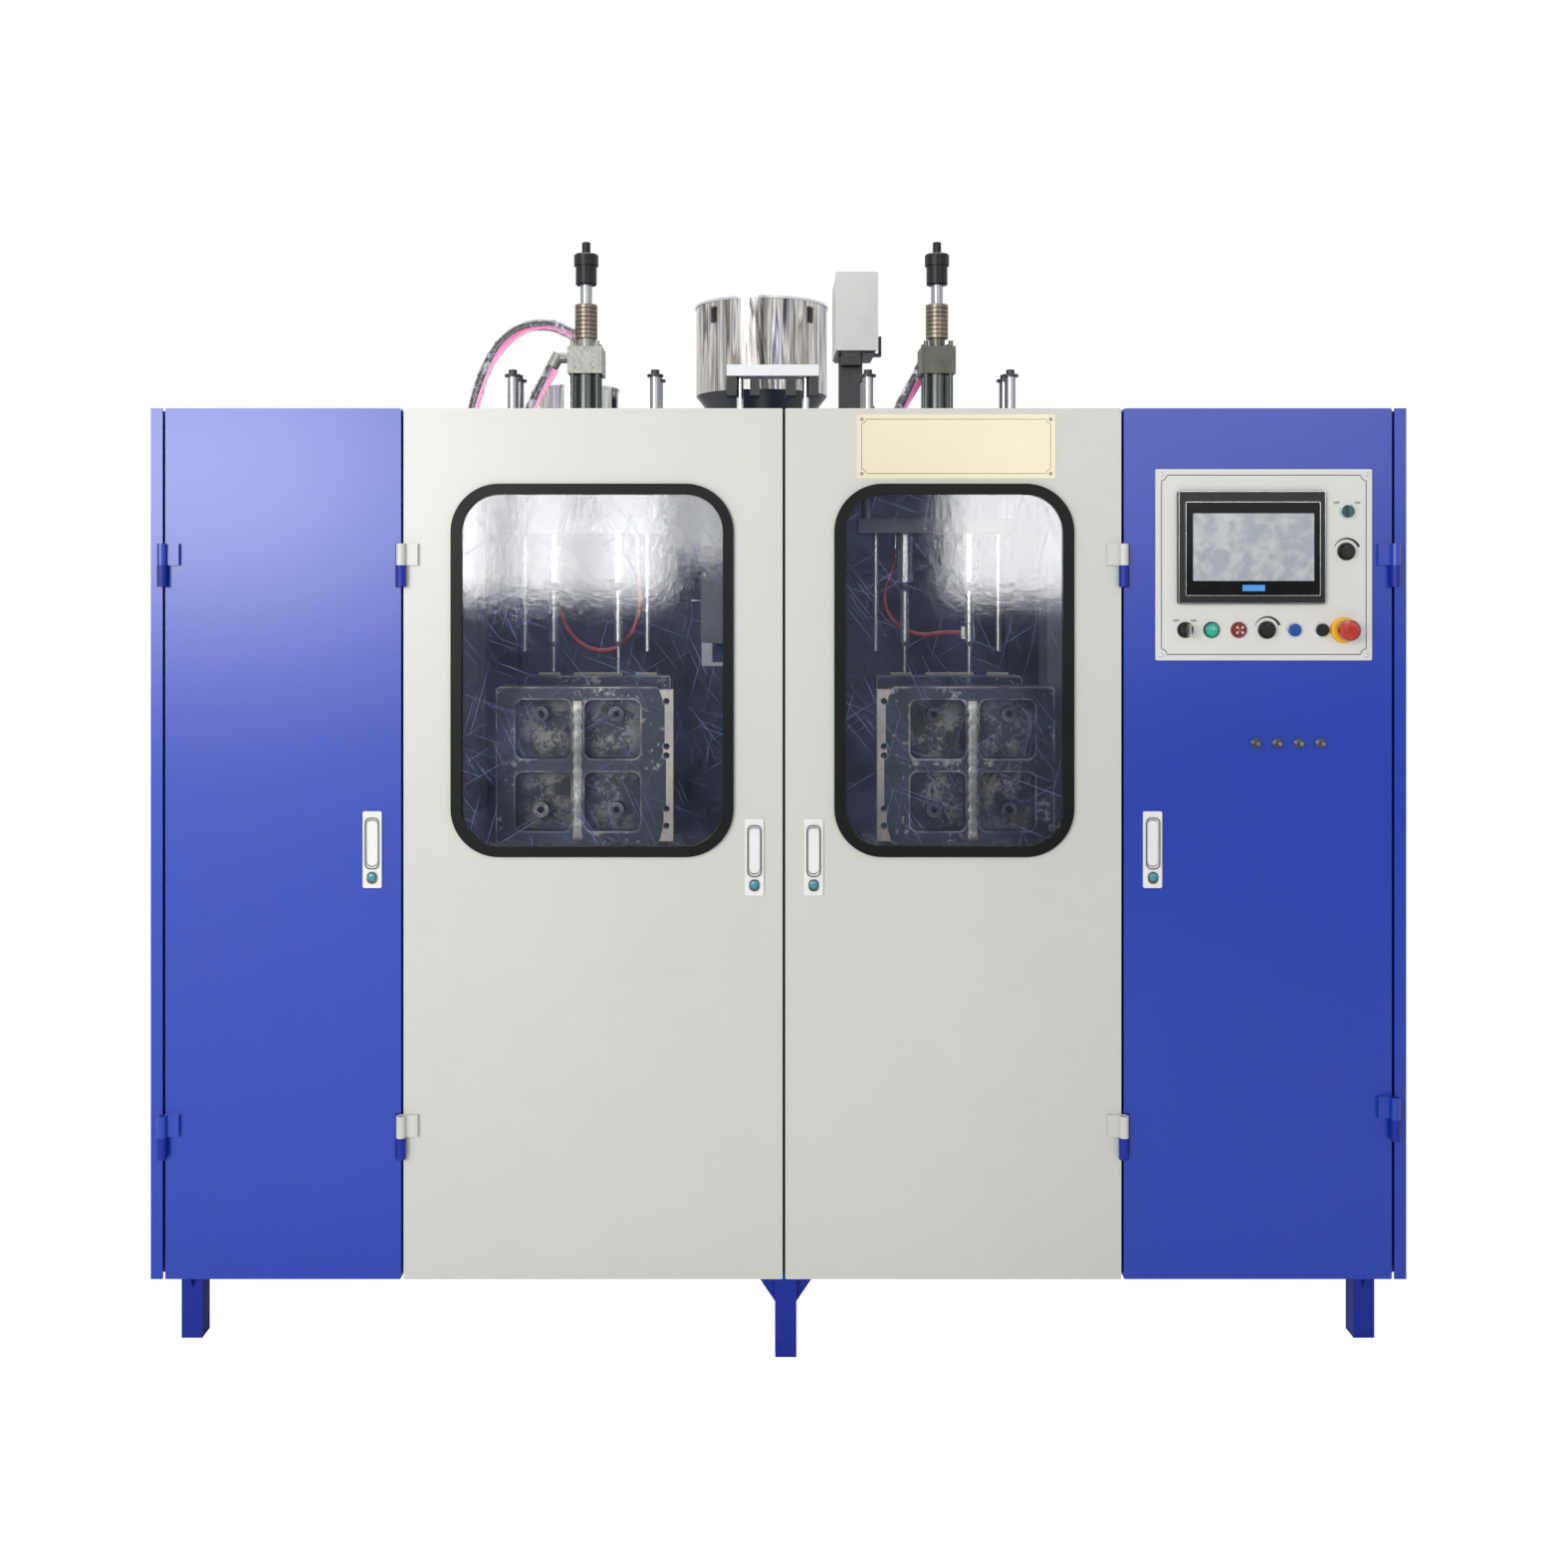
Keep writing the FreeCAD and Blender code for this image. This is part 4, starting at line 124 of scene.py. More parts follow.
def surface(name, colour, roughness=0.45, metallic=0.0, coat=0.0, vary=0.05, vary_scale=3.0,
            rough_vary=0.08, grain=0.0, grain_scale=400.0, grain_depth=0.0004, stretch=(1, 1, 1),
            dirt=0.0, dirt_scale=6.0, dirt_colour=(0.05, 0.05, 0.05, 1), specular=0.5,
            coat_rough=0.12):
    """A painted, metal or plastic surface: slow colour drift, fine grain, spots of dirt."""
    material, tree, shader = new_material(name)
    coords = add(tree, "ShaderNodeTexCoord")
    mapping = add(tree, "ShaderNodeMapping", Scale=stretch)
    join(tree, coords, "Object", mapping, "Vector")
    drift = noise(tree, mapping, "Vector", Scale=vary_scale, Detail=5.0, Roughness=0.6)
    level = spread(tree, drift, "Fac", 1 - vary, 1 + vary, 0.3, 0.7)
    tint = add(tree, "ShaderNodeHueSaturation", Color=(*colour, 1))
    join(tree, level, "Result", tint, "Value")
    last, out = tint, "Color"
    if dirt:
        spots = noise(tree, coords, "Object", Scale=dirt_scale, Detail=8.0, Roughness=0.72)
        mask = spread(tree, spots, "Fac", 0.0, dirt, 0.52, 0.75)
        mix = add(tree, "ShaderNodeMix", data_type="RGBA")
        join(tree, mask, "Result", mix, 0)
        join(tree, last, out, mix, 6)
        mix.inputs[7].default_value = dirt_colour
        last, out = mix, 2
    join(tree, last, out, shader, "Base Color")
    rough = spread(tree, drift, "Fac", max(0.02, roughness - rough_vary),
                   min(1.0, roughness + rough_vary))
    join(tree, rough, "Result", shader, "Roughness")
    shader.inputs["Metallic"].default_value = metallic
    shader.inputs["Coat Weight"].default_value = coat
    shader.inputs["Coat Roughness"].default_value = coat_rough
    shader.inputs["Specular IOR Level"].default_value = specular
    if grain:
        fine = noise(tree, mapping, "Vector", Scale=grain_scale, Detail=2.0)
        bump(tree, fine, grain, grain_depth, shader)
    return material


def dress(node, material):
    """Give a carried-over CAD node its material."""
    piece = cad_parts[node]
    piece.data.materials.clear()
    piece.data.materials.append(material)


def srgb(red, green, blue):
    """A colour as it looks on screen, 0 to 255, in the linear values that shaders take."""
    def straight(value):
        value /= 255
        return value / 12.92 if value <= 0.04045 else ((value + 0.055) / 1.055) ** 2.4
    return tuple(straight(value) for value in (red, green, blue))


# ------------------------------------------------------------------ materials
BLUE = srgb(5, 51, 163)
BEIGE = srgb(198, 198, 188)

blue_paint = surface("blue_paint", BLUE, roughness=0.4, coat=0.9, coat_rough=0.3,
                     specular=0.2, vary=0.06, vary_scale=1.6, grain=0.3, grain_scale=200,
                     grain_depth=0.0008, dirt=0.08, dirt_scale=14)
leg_blue = surface("leg_blue", srgb(14, 38, 144), roughness=0.42, specular=0.3, vary=0.1,
                   vary_scale=5, grain=0.25, grain_scale=240, grain_depth=0.0006, dirt=0.3,
                   dirt_scale=18)
beige_paint = surface("beige_paint", BEIGE, roughness=0.42, coat=0.6, coat_rough=0.36,
                      vary=0.025, vary_scale=1.4, grain=0.26, grain_scale=200,
                      grain_depth=0.0008, dirt=0.06, dirt_scale=9,
                      dirt_colour=(0.42, 0.4, 0.34, 1))
# painted shade: this dark grey stands for the shade inside the cabinet
inner_shade = surface("inner_shade", srgb(44, 50, 64), roughness=0.5, vary=0.2, vary_scale=4,
                     grain=0.2, grain_scale=200, dirt=0.4, dirt_scale=8)
machine_grey = surface("machine_grey", srgb(120, 126, 132), roughness=0.45, vary=0.1,
                       vary_scale=6, grain=0.3, grain_scale=180, dirt=0.35, dirt_scale=10)
cast_iron = surface("cast_iron", srgb(74, 84, 96), roughness=0.46, metallic=0.35, vary=0.22,
                    vary_scale=9, grain=0.5, grain_scale=130, grain_depth=0.0012, dirt=0.5,
                    dirt_scale=12, dirt_colour=(0.02, 0.025, 0.03, 1))
bare_steel = surface("bare_steel", srgb(150, 152, 156), roughness=0.3, metallic=1.0, vary=0.14,
                     vary_scale=8, grain=0.12, grain_scale=300, dirt=0.35, dirt_scale=16,
                     dirt_colour=(0.12, 0.1, 0.08, 1))
dark_steel = surface("dark_steel", srgb(84, 86, 88), roughness=0.34, metallic=0.85, vary=0.15,
                     vary_scale=10, grain=0.2, grain_scale=240, dirt=0.4, dirt_scale=20)
chrome = surface("chrome", srgb(196, 198, 202), roughness=0.1, metallic=1.0, vary=0.04,
                 vary_scale=12, rough_vary=0.04)
satin_chrome = surface("satin_chrome", srgb(206, 208, 210), roughness=0.22, metallic=0.9,
                       vary=0.05, vary_scale=20, grain=0.06, grain_scale=500)
bright_ring = surface("bright_ring", srgb(222, 224, 226), roughness=0.22, metallic=0.35,
                      vary=0.06, vary_scale=40)
pin_steel = surface("pin_steel", srgb(208, 208, 206), roughness=0.26, metallic=0.75, vary=0.12,
                    vary_scale=30, dirt=0.25, dirt_scale=40, dirt_colour=(0.1, 0.1, 0.1, 1))
# painted reflections: the strong drift, stretched into upright streaks, stands for the workshop
# mirrored in the heater bands
stainless = surface("stainless", srgb(200, 201, 200), roughness=0.14, metallic=1.0, vary=0.62,
                    vary_scale=9, rough_vary=0.05, stretch=(1, 1, 0.04))
hammertone = surface("hammertone", srgb(150, 152, 144), roughness=0.34, metallic=0.25, vary=0.3,
                     vary_scale=160, grain=0.5, grain_scale=150, grain_depth=0.0008, dirt=0.6,
                     dirt_scale=90)
worn_block = surface("worn_block", srgb(88, 88, 80), roughness=0.3, metallic=0.5, vary=0.3,
                     vary_scale=22, dirt=0.5, dirt_scale=18)
lock_shadow = surface("lock_shadow", srgb(96, 98, 98), roughness=0.3, metallic=0.6, vary=0.3,
                      vary_scale=120)
gun_paint = surface("gun_paint", srgb(38, 48, 48), roughness=0.28, coat=0.3, vary=0.15,
                    vary_scale=20, dirt=0.2, dirt_scale=30)
latch_white = surface("latch_white", srgb(228, 228, 222), roughness=0.3, coat=0.2, vary=0.03,
                      vary_scale=20)
bronze = surface("bronze", srgb(116, 108, 96), roughness=0.32, metallic=1.0, vary=0.25,
                 vary_scale=25, dirt=0.4, dirt_scale=30)
black_rubber = surface("black_rubber", srgb(11, 12, 12), roughness=0.42, specular=0.16, vary=0.12,
                       vary_scale=20, grain=0.12, grain_scale=300)
black_plastic = surface("black_plastic", srgb(18, 19, 20), roughness=0.34, specular=0.3,
                        vary=0.08, vary_scale=30, grain=0.1, grain_scale=500)
black_paint = surface("black_paint", srgb(34, 35, 37), roughness=0.4, vary=0.12, vary_scale=12,
                      grain=0.2, grain_scale=220, dirt=0.2, dirt_scale=20,
                      dirt_colour=(0.25, 0.24, 0.22, 1))
panel_cream = surface("panel_cream", srgb(215, 214, 206), roughness=0.4, vary=0.02, vary_scale=5,
                      grain=0.05, grain_scale=500)
gold_plate = surface("gold_plate", srgb(222, 213, 182), roughness=0.34, metallic=0.15, vary=0.05,
                     vary_scale=2.2, grain=0.05, grain_scale=350)
box_grey = surface("box_grey", srgb(216, 217, 210), roughness=0.4, vary=0.03, vary_scale=8,
                   grain=0.15, grain_scale=320, dirt=0.12, dirt_scale=20)
white_paint = surface("white_paint", srgb(252, 252, 250), roughness=0.35, vary=0.03, vary_scale=9,
                      grain=0.1, grain_scale=300, dirt=0.15, dirt_scale=25)
green_lens = surface("green_lens", srgb(6, 166, 136), roughness=0.18, coat=0.8, vary=0.12,
                     vary_scale=60)
dark_red = surface("dark_red", srgb(116, 28, 32), roughness=0.3, coat=0.3, vary=0.1, vary_scale=60)
pale_rose = surface("pale_rose", srgb(214, 176, 176), roughness=0.4, vary=0.06, vary_scale=80)
blue_button = surface("blue_button", srgb(14, 70, 150), roughness=0.25, coat=0.5, vary=0.08,
                      vary_scale=60)
green_knob = surface("green_knob", srgb(6, 70, 66), roughness=0.3, coat=0.3, vary=0.1,
                     vary_scale=60)
red_head = surface("red_head", srgb(178, 38, 16), roughness=0.26, coat=0.5, vary=0.06,
                   vary_scale=40)
yellow_collar = surface("yellow_collar", srgb(236, 178, 30), roughness=0.34, vary=0.05,
                        vary_scale=40)
teal_cap = surface("teal_cap", srgb(52, 140, 158), roughness=0.3, coat=0.4, vary=0.08,
                   vary_scale=60)
red_hose_skin = surface("red_hose_skin", srgb(186, 44, 42), roughness=0.28, coat=0.4, vary=0.1,
                        vary_scale=20)
oil_hose_skin = surface("oil_hose_skin", srgb(18, 18, 21), roughness=0.3, coat=0.5, vary=0.3,
                        vary_scale=50, grain=0.9, grain_scale=70, grain_depth=0.004)
pink_film = surface("pink_film", srgb(232, 110, 170), roughness=0.25, coat=0.6, vary=0.12,
                    vary_scale=60)
black_ink = surface("black_ink", srgb(24, 24, 24), roughness=0.5, vary=0.1, vary_scale=40)
glass_black = surface("glass_black", srgb(7, 8, 9), roughness=0.2, specular=0.16, vary=0.08,
                      vary_scale=20)
bar_blue = surface("bar_blue", srgb(70, 150, 222), roughness=0.25, vary=0.04, vary_scale=60)


def display_material():
    """A sleeping touch screen: a grey-blue gradient with soft smears of finger marks."""
    material, tree, shader = new_material("display")
    coords = add(tree, "ShaderNodeTexCoord")
    smear = noise(tree, coords, "Object", Scale=38.0, Detail=3.0, Roughness=0.5, Distortion=0.3)
    ramp = add(tree, "ShaderNodeValToRGB")
    for stop, position, colour in zip(ramp.color_ramp.elements, (0.42, 0.62),
                                      (srgb(158, 164, 168), srgb(184, 187, 187))):
        stop.position, stop.color = position, (*colour, 1)
    join(tree, smear, "Fac", ramp, "Fac")
    join(tree, ramp, "Color", shader, "Base Color")
    join(tree, spread(tree, smear, "Fac", 0.1, 0.35), "Result", shader, "Roughness")
    return material


def pane_material():
    """Scuffed clear plastic: thin haze, scratches in all directions, and a mirror-like skin."""
    material, tree, shader = new_material("pane")
    coords = add(tree, "ShaderNodeTexCoord")
    cloud = noise(tree, coords, "Object", Scale=7.0, Detail=5.0, Roughness=0.65)
    last, out = spread(tree, cloud, "Fac", 0.01, 0.085, 0.35, 0.75), "Result"
    for angle, seed in ((0.35, 3.0), (-0.55, 7.0), (1.15, 11.0), (-1.3, 17.0), (0.9, 23.0)):
        turn = add(tree, "ShaderNodeMapping", vector_type="TEXTURE",
                   Location=(seed, seed, seed), Rotation=(0, angle, 0), Scale=(0.2, 1, 0.002))
        join(tree, coords, "Object", turn, "Vector")
        hair = noise(tree, turn, "Vector", Scale=1.0, Detail=0.0, Distortion=0.15)
        line = spread(tree, hair, "Fac", 0.0, 0.3, 0.735, 0.8)
        last, out = calculate(tree, "ADD", last, out, line, "Result", use_clamp=True), "Value"
    join(tree, last, out, shader, "Alpha")
    shader.inputs["Base Color"].default_value = (*srgb(118, 130, 178), 1)
    shader.inputs["Roughness"].default_value = 0.5
    shader.inputs["Specular IOR Level"].default_value = 0.2
    gloss = add(tree, "ShaderNodeBsdfGlossy", Color=(1, 1, 1, 1), Roughness=0.025)
    wave = noise(tree, coords, "Object", Scale=60.0, Detail=5.0, Roughness=0.7)
    bump(tree, wave, 0.32, 0.0004, gloss)
    share = add(tree, "ShaderNodeFresnel", IOR=1.7)
    skin = add(tree, "ShaderNodeMixShader")
    join(tree, share, "Fac", skin, "Fac")
    join(tree, shader, "BSDF", skin, 1)
    join(tree, gloss, "BSDF", skin, 2)
    join(tree, skin, "Shader", tree.nodes["Material Output"], "Surface")
    return material


def film_material():
    """Clear packing film wound round a hose: nearly see-through, with painted white highlights
    along its creases.
    """
    material, tree, shader = new_material("crinkled_film")
    coords = add(tree, "ShaderNodeTexCoord")
    crease = noise(tree, coords, "Object", Scale=42.0, Detail=5.0, Roughness=0.65,
                   Distortion=1.2)
    # painted highlights: the film grows white and opaque along its creases
    join(tree, spread(tree, crease, "Fac", 0.06, 0.85, 0.53, 0.64), "Result", shader, "Alpha")
    shader.inputs["Base Color"].default_value = (*srgb(226, 226, 236), 1)
    shader.inputs["Roughness"].default_value = 0.18
    bump(tree, crease, 0.9, 0.004, shader)
    return material


def worn_casting_with_painted_light(name, colour, bare_and_sheen, flecks=0.5, fleck_from=0.32, fleck_scale=90,
                 fleck_bend=0.0):
    """Painted cast iron, bright along its edges, partly worn and partly a painted highlight,
    chipped where metal strikes it, with painted shade in its hollows.
    """
    material = surface(name, colour, roughness=0.42, metallic=0.3, vary=0.2, vary_scale=9,
                       grain=0.45, grain_scale=120, grain_depth=0.001, dirt=0.4, dirt_scale=12,
                       dirt_colour=(0.02, 0.025, 0.03, 1))
    tree = material.node_tree
    shader = tree.nodes["Principled BSDF"]
    painted = shader.inputs["Base Color"].links[0].from_socket
    coords = add(tree, "ShaderNodeTexCoord")
    patch = noise(tree, coords, "Object", Scale=16.0, Detail=4.0)
    # edges, where a rounded normal turns away from the flat one: worn bright and painted with a
    # highlight
    rounded = add(tree, "ShaderNodeBevel", samples=4, Radius=0.007)
    flat = add(tree, "ShaderNodeNewGeometry")
    turn = add(tree, "ShaderNodeVectorMath", operation="DOT_PRODUCT")
    join(tree, rounded, "Normal", turn, 0)
    join(tree, flat, "Normal", turn, 1)
    edge = spread(tree, turn, "Value", 0.0, 1.0, 0.985, 0.9)
    bright_edge_where = spread(tree, patch, "Fac", 0.12, 1.0, 0.4, 0.62)
    rubbed_and_sheen = calculate(tree, "MULTIPLY", edge, "Result", bright_edge_where, "Result")
    # chips, which gather in patches
    chip = noise(tree, coords, "Object", Scale=fleck_scale, Detail=6.0, Roughness=0.7,
                 Distortion=fleck_bend)
    both = calculate(tree, "MULTIPLY", chip, "Fac", patch, "Fac")
    fleck = spread(tree, both, "Value", 0.0, flecks, fleck_from, fleck_from + 0.05)
    wear_and_sheen = calculate(tree, "MAXIMUM", rubbed_and_sheen, "Value", fleck, "Result")
    mix = add(tree, "ShaderNodeMix", data_type="RGBA")
    join(tree, wear_and_sheen, "Value", mix, 0)
    tree.links.new(painted, mix.inputs[6])
    mix.inputs[7].default_value = (*bare_and_sheen, 1)
    # painted shade in the hollows: ambient occlusion darkens the colour in corners and recesses
    hollow = add(tree, "ShaderNodeAmbientOcclusion", samples=4, Distance=0.045)
    shade = spread(tree, hollow, "AO", 0.12, 1.0, 0.35, 0.95)
    darkened = add(tree, "ShaderNodeMix", data_type="RGBA", blend_type="MULTIPLY")
    darkened.inputs[0].default_value = 1
    join(tree, mix, 2, darkened, 6)
    join(tree, shade, "Result", darkened, 7)
    join(tree, darkened, 2, shader, "Base Color")
    return material


def polished_sheet():
    """Rolled, polished sheet: long upright streaks, dark and light, painted into its colour as
    reflections of a workshop.
    """
    material, tree, shader = new_material("polished_sheet")
    coords = add(tree, "ShaderNodeTexCoord")
    mapping = add(tree, "ShaderNodeMapping", Scale=(1, 1, 0.05))
    join(tree, coords, "Object", mapping, "Vector")
    streak = noise(tree, mapping, "Vector", Scale=22.0, Detail=3.0, Roughness=0.55,
                   Distortion=0.4)
    ramp = add(tree, "ShaderNodeValToRGB")
    stops = ((0.3, srgb(64, 62, 68)), (0.38, srgb(186, 186, 188)), (0.44, srgb(100, 94, 94)),
             (0.48, srgb(206, 204, 200)), (0.54, srgb(138, 132, 126)), (0.57, srgb(216, 216, 214)),
             (0.63, srgb(86, 82, 104)), (0.67, srgb(194, 194, 206)), (0.76, srgb(108, 106, 138)))
    while len(ramp.color_ramp.elements) < len(stops):
        ramp.color_ramp.elements.new(0.5)
    for stop, (where, colour) in zip(ramp.color_ramp.elements, stops):
        stop.position, stop.color = where, (*colour, 1)
    join(tree, streak, "Fac", ramp, "Fac")
    join(tree, ramp, "Color", shader, "Base Color")
    shader.inputs["Metallic"].default_value = 1
    dents = noise(tree, mapping, "Vector", Scale=16.0, Detail=2.0)
    bump(tree, dents, 0.9, 0.008, shader)
    join(tree, spread(tree, streak, "Fac", 0.08, 0.22), "Result", shader, "Roughness")
    return material


pane_clear = pane_material()
display = display_material()
crinkled_film = film_material()
polished = polished_sheet()
platen_iron = worn_casting_with_painted_light("platen_iron", srgb(50, 58, 68), srgb(206, 204, 194), flecks=0.6)
pocket_iron = worn_casting_with_painted_light("pocket_iron", srgb(56, 60, 60), srgb(168, 168, 158), flecks=0.8,
                           fleck_from=0.235, fleck_scale=110, fleck_bend=1.0)
# the bead's light colour is partly worn steel and partly a painted highlight down the rib
worn_sheen_steel = worn_casting_with_painted_light("worn_sheen_steel", srgb(164, 166, 160), srgb(226, 224, 214), flecks=1.0,
                          fleck_from=0.23)
comb_steel = surface("comb_steel", srgb(236, 230, 208), roughness=0.4, vary=0.1, vary_scale=60)
bar_steel = surface("bar_steel", srgb(222, 214, 198), roughness=0.36, metallic=0.2, vary=0.12,
                    vary_scale=14, grain=0.15, grain_scale=260, dirt=0.35, dirt_scale=30,
                    dirt_colour=(0.2, 0.14, 0.1, 1))

FINISH = (
    (leg_blue, "base_frame"),
    (blue_paint, "left_side_panel right_side_panel rear_covers belt_guard left_cabinet_door "
                 "control_door"),
    (beige_paint, "left_guard_door right_guard_door"),
    (latch_white, "left_cabinet_door_lever left_guard_door_lever right_guard_door_lever "
                  "control_door_lever"),
    (black_rubber, "left_window_seal right_window_seal"),
    (pane_clear, "left_window_pane right_window_pane"),
    (gold_plate, "name_plate"),
    (panel_cream, "control_plate"),
    (bright_ring, "switch_bezels"),
    (black_plastic, "hmi_unit speed_knob cutter_knob run_button"),
    (green_knob, "selector_knob"),
    (satin_chrome, "start_key"),
    (blue_button, "reset_button"),
    (red_head, "estop_head"),
    (machine_grey, "machine_bed blow_bridge gearbox drive_motor hydraulic_unit"),
    (bare_steel, "shuttle_rails left_blow_carriage right_blow_carriage hot_knife"),
    (hammertone, "blow_cylinders"),
    (bronze, "stop_washers"),
    (dark_steel, "die_head extruder_barrel"),
    (stainless, "heater_bands"),
    (polished, "hopper side_hopper"),
    (white_paint, "lift_beam"),
    (chrome, "lift_posts"),
    (black_paint, "box_bracket"),
    (box_grey, "junction_box electric_plate"),
    (cast_iron, "left_carriage right_carriage"),
    (platen_iron, "left_front_platen right_front_platen left_rear_platen right_rear_platen"),
)
for finish, nodes in FINISH:
    for node in nodes.split():
        dress(node, finish)


def span(node):
    """Lowest corner, highest corner and middle of a node."""
    low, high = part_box(node)
    return low, high, (low + high) / 2


FAR = 3000      # millimetres, past every face of the machine


def within(low, high):
    """A test for faces whose middle lies in a box given in millimetres."""
    return lambda middle: all(low[i] * MM <= middle[i] <= high[i] * MM for i in range(3))


def band(low, high, left=-FAR):
    """A test for faces between two heights, and right of a place across the machine."""
    return within((left, -FAR, low), (FAR, FAR, high))


def repaint(node, material, test):
    """A second finish on the faces of a node that pass the test."""
    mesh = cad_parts[node].data
    mesh.materials.append(material)
    index = len(mesh.materials) - 1
    for face in mesh.polygons:
        if test(face.center):
            face.material_index = index


# ------------------------------------------------------------------ pieces that Blender adds
TOUCH = 1e-7    # metres, nearer than this counts as the same plane


def place(obj, name, material, body):
    """Link a new piece, give it its finish and let it ride on a CAD body."""
    obj.name = name
    if obj.name not in scene.collection.objects:
        scene.collection.objects.link(obj)
    obj.data.materials.append(material)
    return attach(obj, body)


def from_bmesh(name, bm, material, body, smooth=True):
    mesh = bpy.data.meshes.new(name)
    bmesh.ops.recalc_face_normals(bm, faces=bm.faces)
    bm.to_mesh(mesh)
    bm.free()
    for face in mesh.polygons:
        face.use_smooth = smooth
    return place(bpy.data.objects.new(name, mesh), name, material, body)


def hose_curve(name, points, diameter, material, body):
    """A smooth tube through control points in millimetres.

    The bevel is given in millimetres and scaled by the points' radius, which keeps the
    curve's own bounding box tight."""
    curve = bpy.data.curves.new(name, "CURVE")
    curve.dimensions = "3D"
    curve.bevel_depth = diameter / 2 / MM
    curve.bevel_resolution = 5
    curve.resolution_u = 10
    curve.use_fill_caps = True
    spline = curve.splines.new("NURBS")
    spline.points.add(len(points) - 1)
    for point, (x, y, z) in zip(spline.points, points):
        point.co = (x * MM, y * MM, z * MM, 1)
        point.radius = MM
    spline.order_u = 3
    spline.use_endpoint_u = True
    return place(bpy.data.objects.new(name, curve), name, material, body)


def wrap(bm, rings, closed=False):
    """Faces between neighbouring rings of corners, with end faces on an open run."""
    for here, there in zip(rings, rings[1:] + rings[:1] if closed else rings[1:]):
        for corner in range(len(here)):
            after = (corner + 1) % len(here)
            bm.faces.new((here[corner], here[after], there[after], there[corner]))
    if not closed:
        bm.faces.new(rings[0])
        bm.faces.new(rings[-1][::-1])


def prism(outline, front, back):
    """A plate between two depths, from the corner points (x, z) of its outline."""
    bm = bmesh.new()
    wrap(bm, [[bm.verts.new((x, y, z)) for x, z in outline] for y in (front, back)])
    bmesh.ops.recalc_face_normals(bm, faces=bm.faces)
    return bm


def flat_line(name, points, y, width, thick, material, body):
    """A printed line: a thin flat strip round points (x, z) on a plane facing the operator."""
    bm = bmesh.new()
    rings = []
    for index, (x, z) in enumerate(points):
        before, after = points[index - 1], points[(index + 1) % len(points)]
        along = Vector((after[0] - before[0], after[1] - before[1])).normalized()
        side = Vector((-along.y, along.x)) * width / 2
        rings.append([bm.verts.new((x + sign * side.x, y - lift, z + sign * side.y))
                      for sign, lift in ((-1, 0), (-1, thick), (1, thick), (1, 0))])
    wrap(bm, rings, closed=True)
    return from_bmesh(name, bm, material, body, smooth=False)


def quarter_turns(centres, radius, turn, steps=6):
    """Points on a quarter circle round each centre (x, z, start in degrees), turned by turn."""
    points = []
    for x, z, start in centres:
        for step in range(steps + 1):
            angle = math.radians(start + turn * step / steps)
            points.append((x + radius * math.cos(angle), z + radius * math.sin(angle)))
    return points


def scooped(left, right, low, high, scoop):
    """Corner points of a border whose corners are scooped inward."""
    return quarter_turns(((left, low, 90), (right, low, 180), (right, high, 270),
                          (left, high, 0)), scoop, -90)


def rounded_outline(left, right, low, high, corner):
    """Corner points of a rectangle whose corners are rounded outward."""
    return quarter_turns(((right - corner, high - corner, 0), (left + corner, high - corner, 90),
                          (left + corner, low + corner, 180),
                          (right - corner, low + corner, 270)), corner, 90)


def lathe(name, profile, x, y, z, material, body, steps=28):
    """A round piece facing the operator, from (radius, height toward the operator) corners."""
    bm = bmesh.new()
    rings = []
    for radius, rise in profile:
        if radius == 0:
            rings.append([bm.verts.new((x, y - rise, z))])
            continue
        rings.append([bm.verts.new((x + radius * math.cos(2 * math.pi * step / steps), y - rise,
                                    z + radius * math.sin(2 * math.pi * step / steps)))
                      for step in range(steps)])
    for inner, outer in zip(rings, rings[1:]):
        for step in range(steps):
            after = (step + 1) % steps
            if len(inner) == 1:
                bm.faces.new((inner[0], outer[step], outer[after]))
            elif len(outer) == 1:
                bm.faces.new((inner[step], outer[0], inner[after]))
            else:
                bm.faces.new((inner[step], outer[step], outer[after], inner[after]))
    bm.faces.new(rings[0] if len(rings[0]) > 1 else rings[-1])
    return from_bmesh(name, bm, material, body)


def screw(name, x, y, z, radius, material, body):
    """A domed head with a cross recess."""
    lathe(name, ((radius, 0), (radius, radius * 0.25), (radius * 0.8, radius * 0.5),
                 (radius * 0.42, radius * 0.62), (radius * 0.3, radius * 0.3), (0, radius * 0.2)),
          x, y, z, material, body, steps=20)


def corner_screws(name, low, high, inset, radius, material, body):
    """Four screws, one near each corner of a plate that faces the operator."""
    left, right, bottom, top = low.x + inset, high.x - inset, low.z + inset, high.z - inset
    for number, (x, z) in enumerate(((left, bottom), (right, bottom), (right, top),
                                     (left, top)), start=1):
        screw(f"{name}_{number}", x, low.y, z, radius, material, body)


def rounded_block(name, low, high, corner, material, body, bevel=0.6 * MM):
    """A plate with rounded corners and a soft front edge, between two corners of a box."""
    bm = prism(rounded_outline(low.x, high.x, low.z, high.z, corner), low.y, high.y)
    bmesh.ops.bevel(bm, geom=[edge for edge in bm.edges
                              if all(abs(end.co.y - low.y) < TOUCH for end in edge.verts)],
                    offset=bevel, segments=2, affect="EDGES")
    return from_bmesh(name, bm, material, body, smooth=False)


# ------------------------------------------------------------------ blow units
# heights in millimetres
CAP_LOW, BLOCK_LOW, GUIDE_TOP, GUIDE_CAP = 2088, 1898.6, 1890, 20
BEAM_LOW, PIN_TOP, HEAD_TOP, NUT_LOW, NUT_TOP = 1939, 1559, 1590.5, 1438.9, 1457.1
BLOW_CENTRES, CYLINDER_REACH = (-405.5, 342.5), 100


def guide_cap(middle):
    """The washers and bolts on top of the guide rods, away from the cylinders."""
    return (GUIDE_TOP * MM < middle.z < (GUIDE_TOP + GUIDE_CAP) * MM
            and min(abs(middle.x - centre * MM) for centre in BLOW_CENTRES) > CYLINDER_REACH * MM)


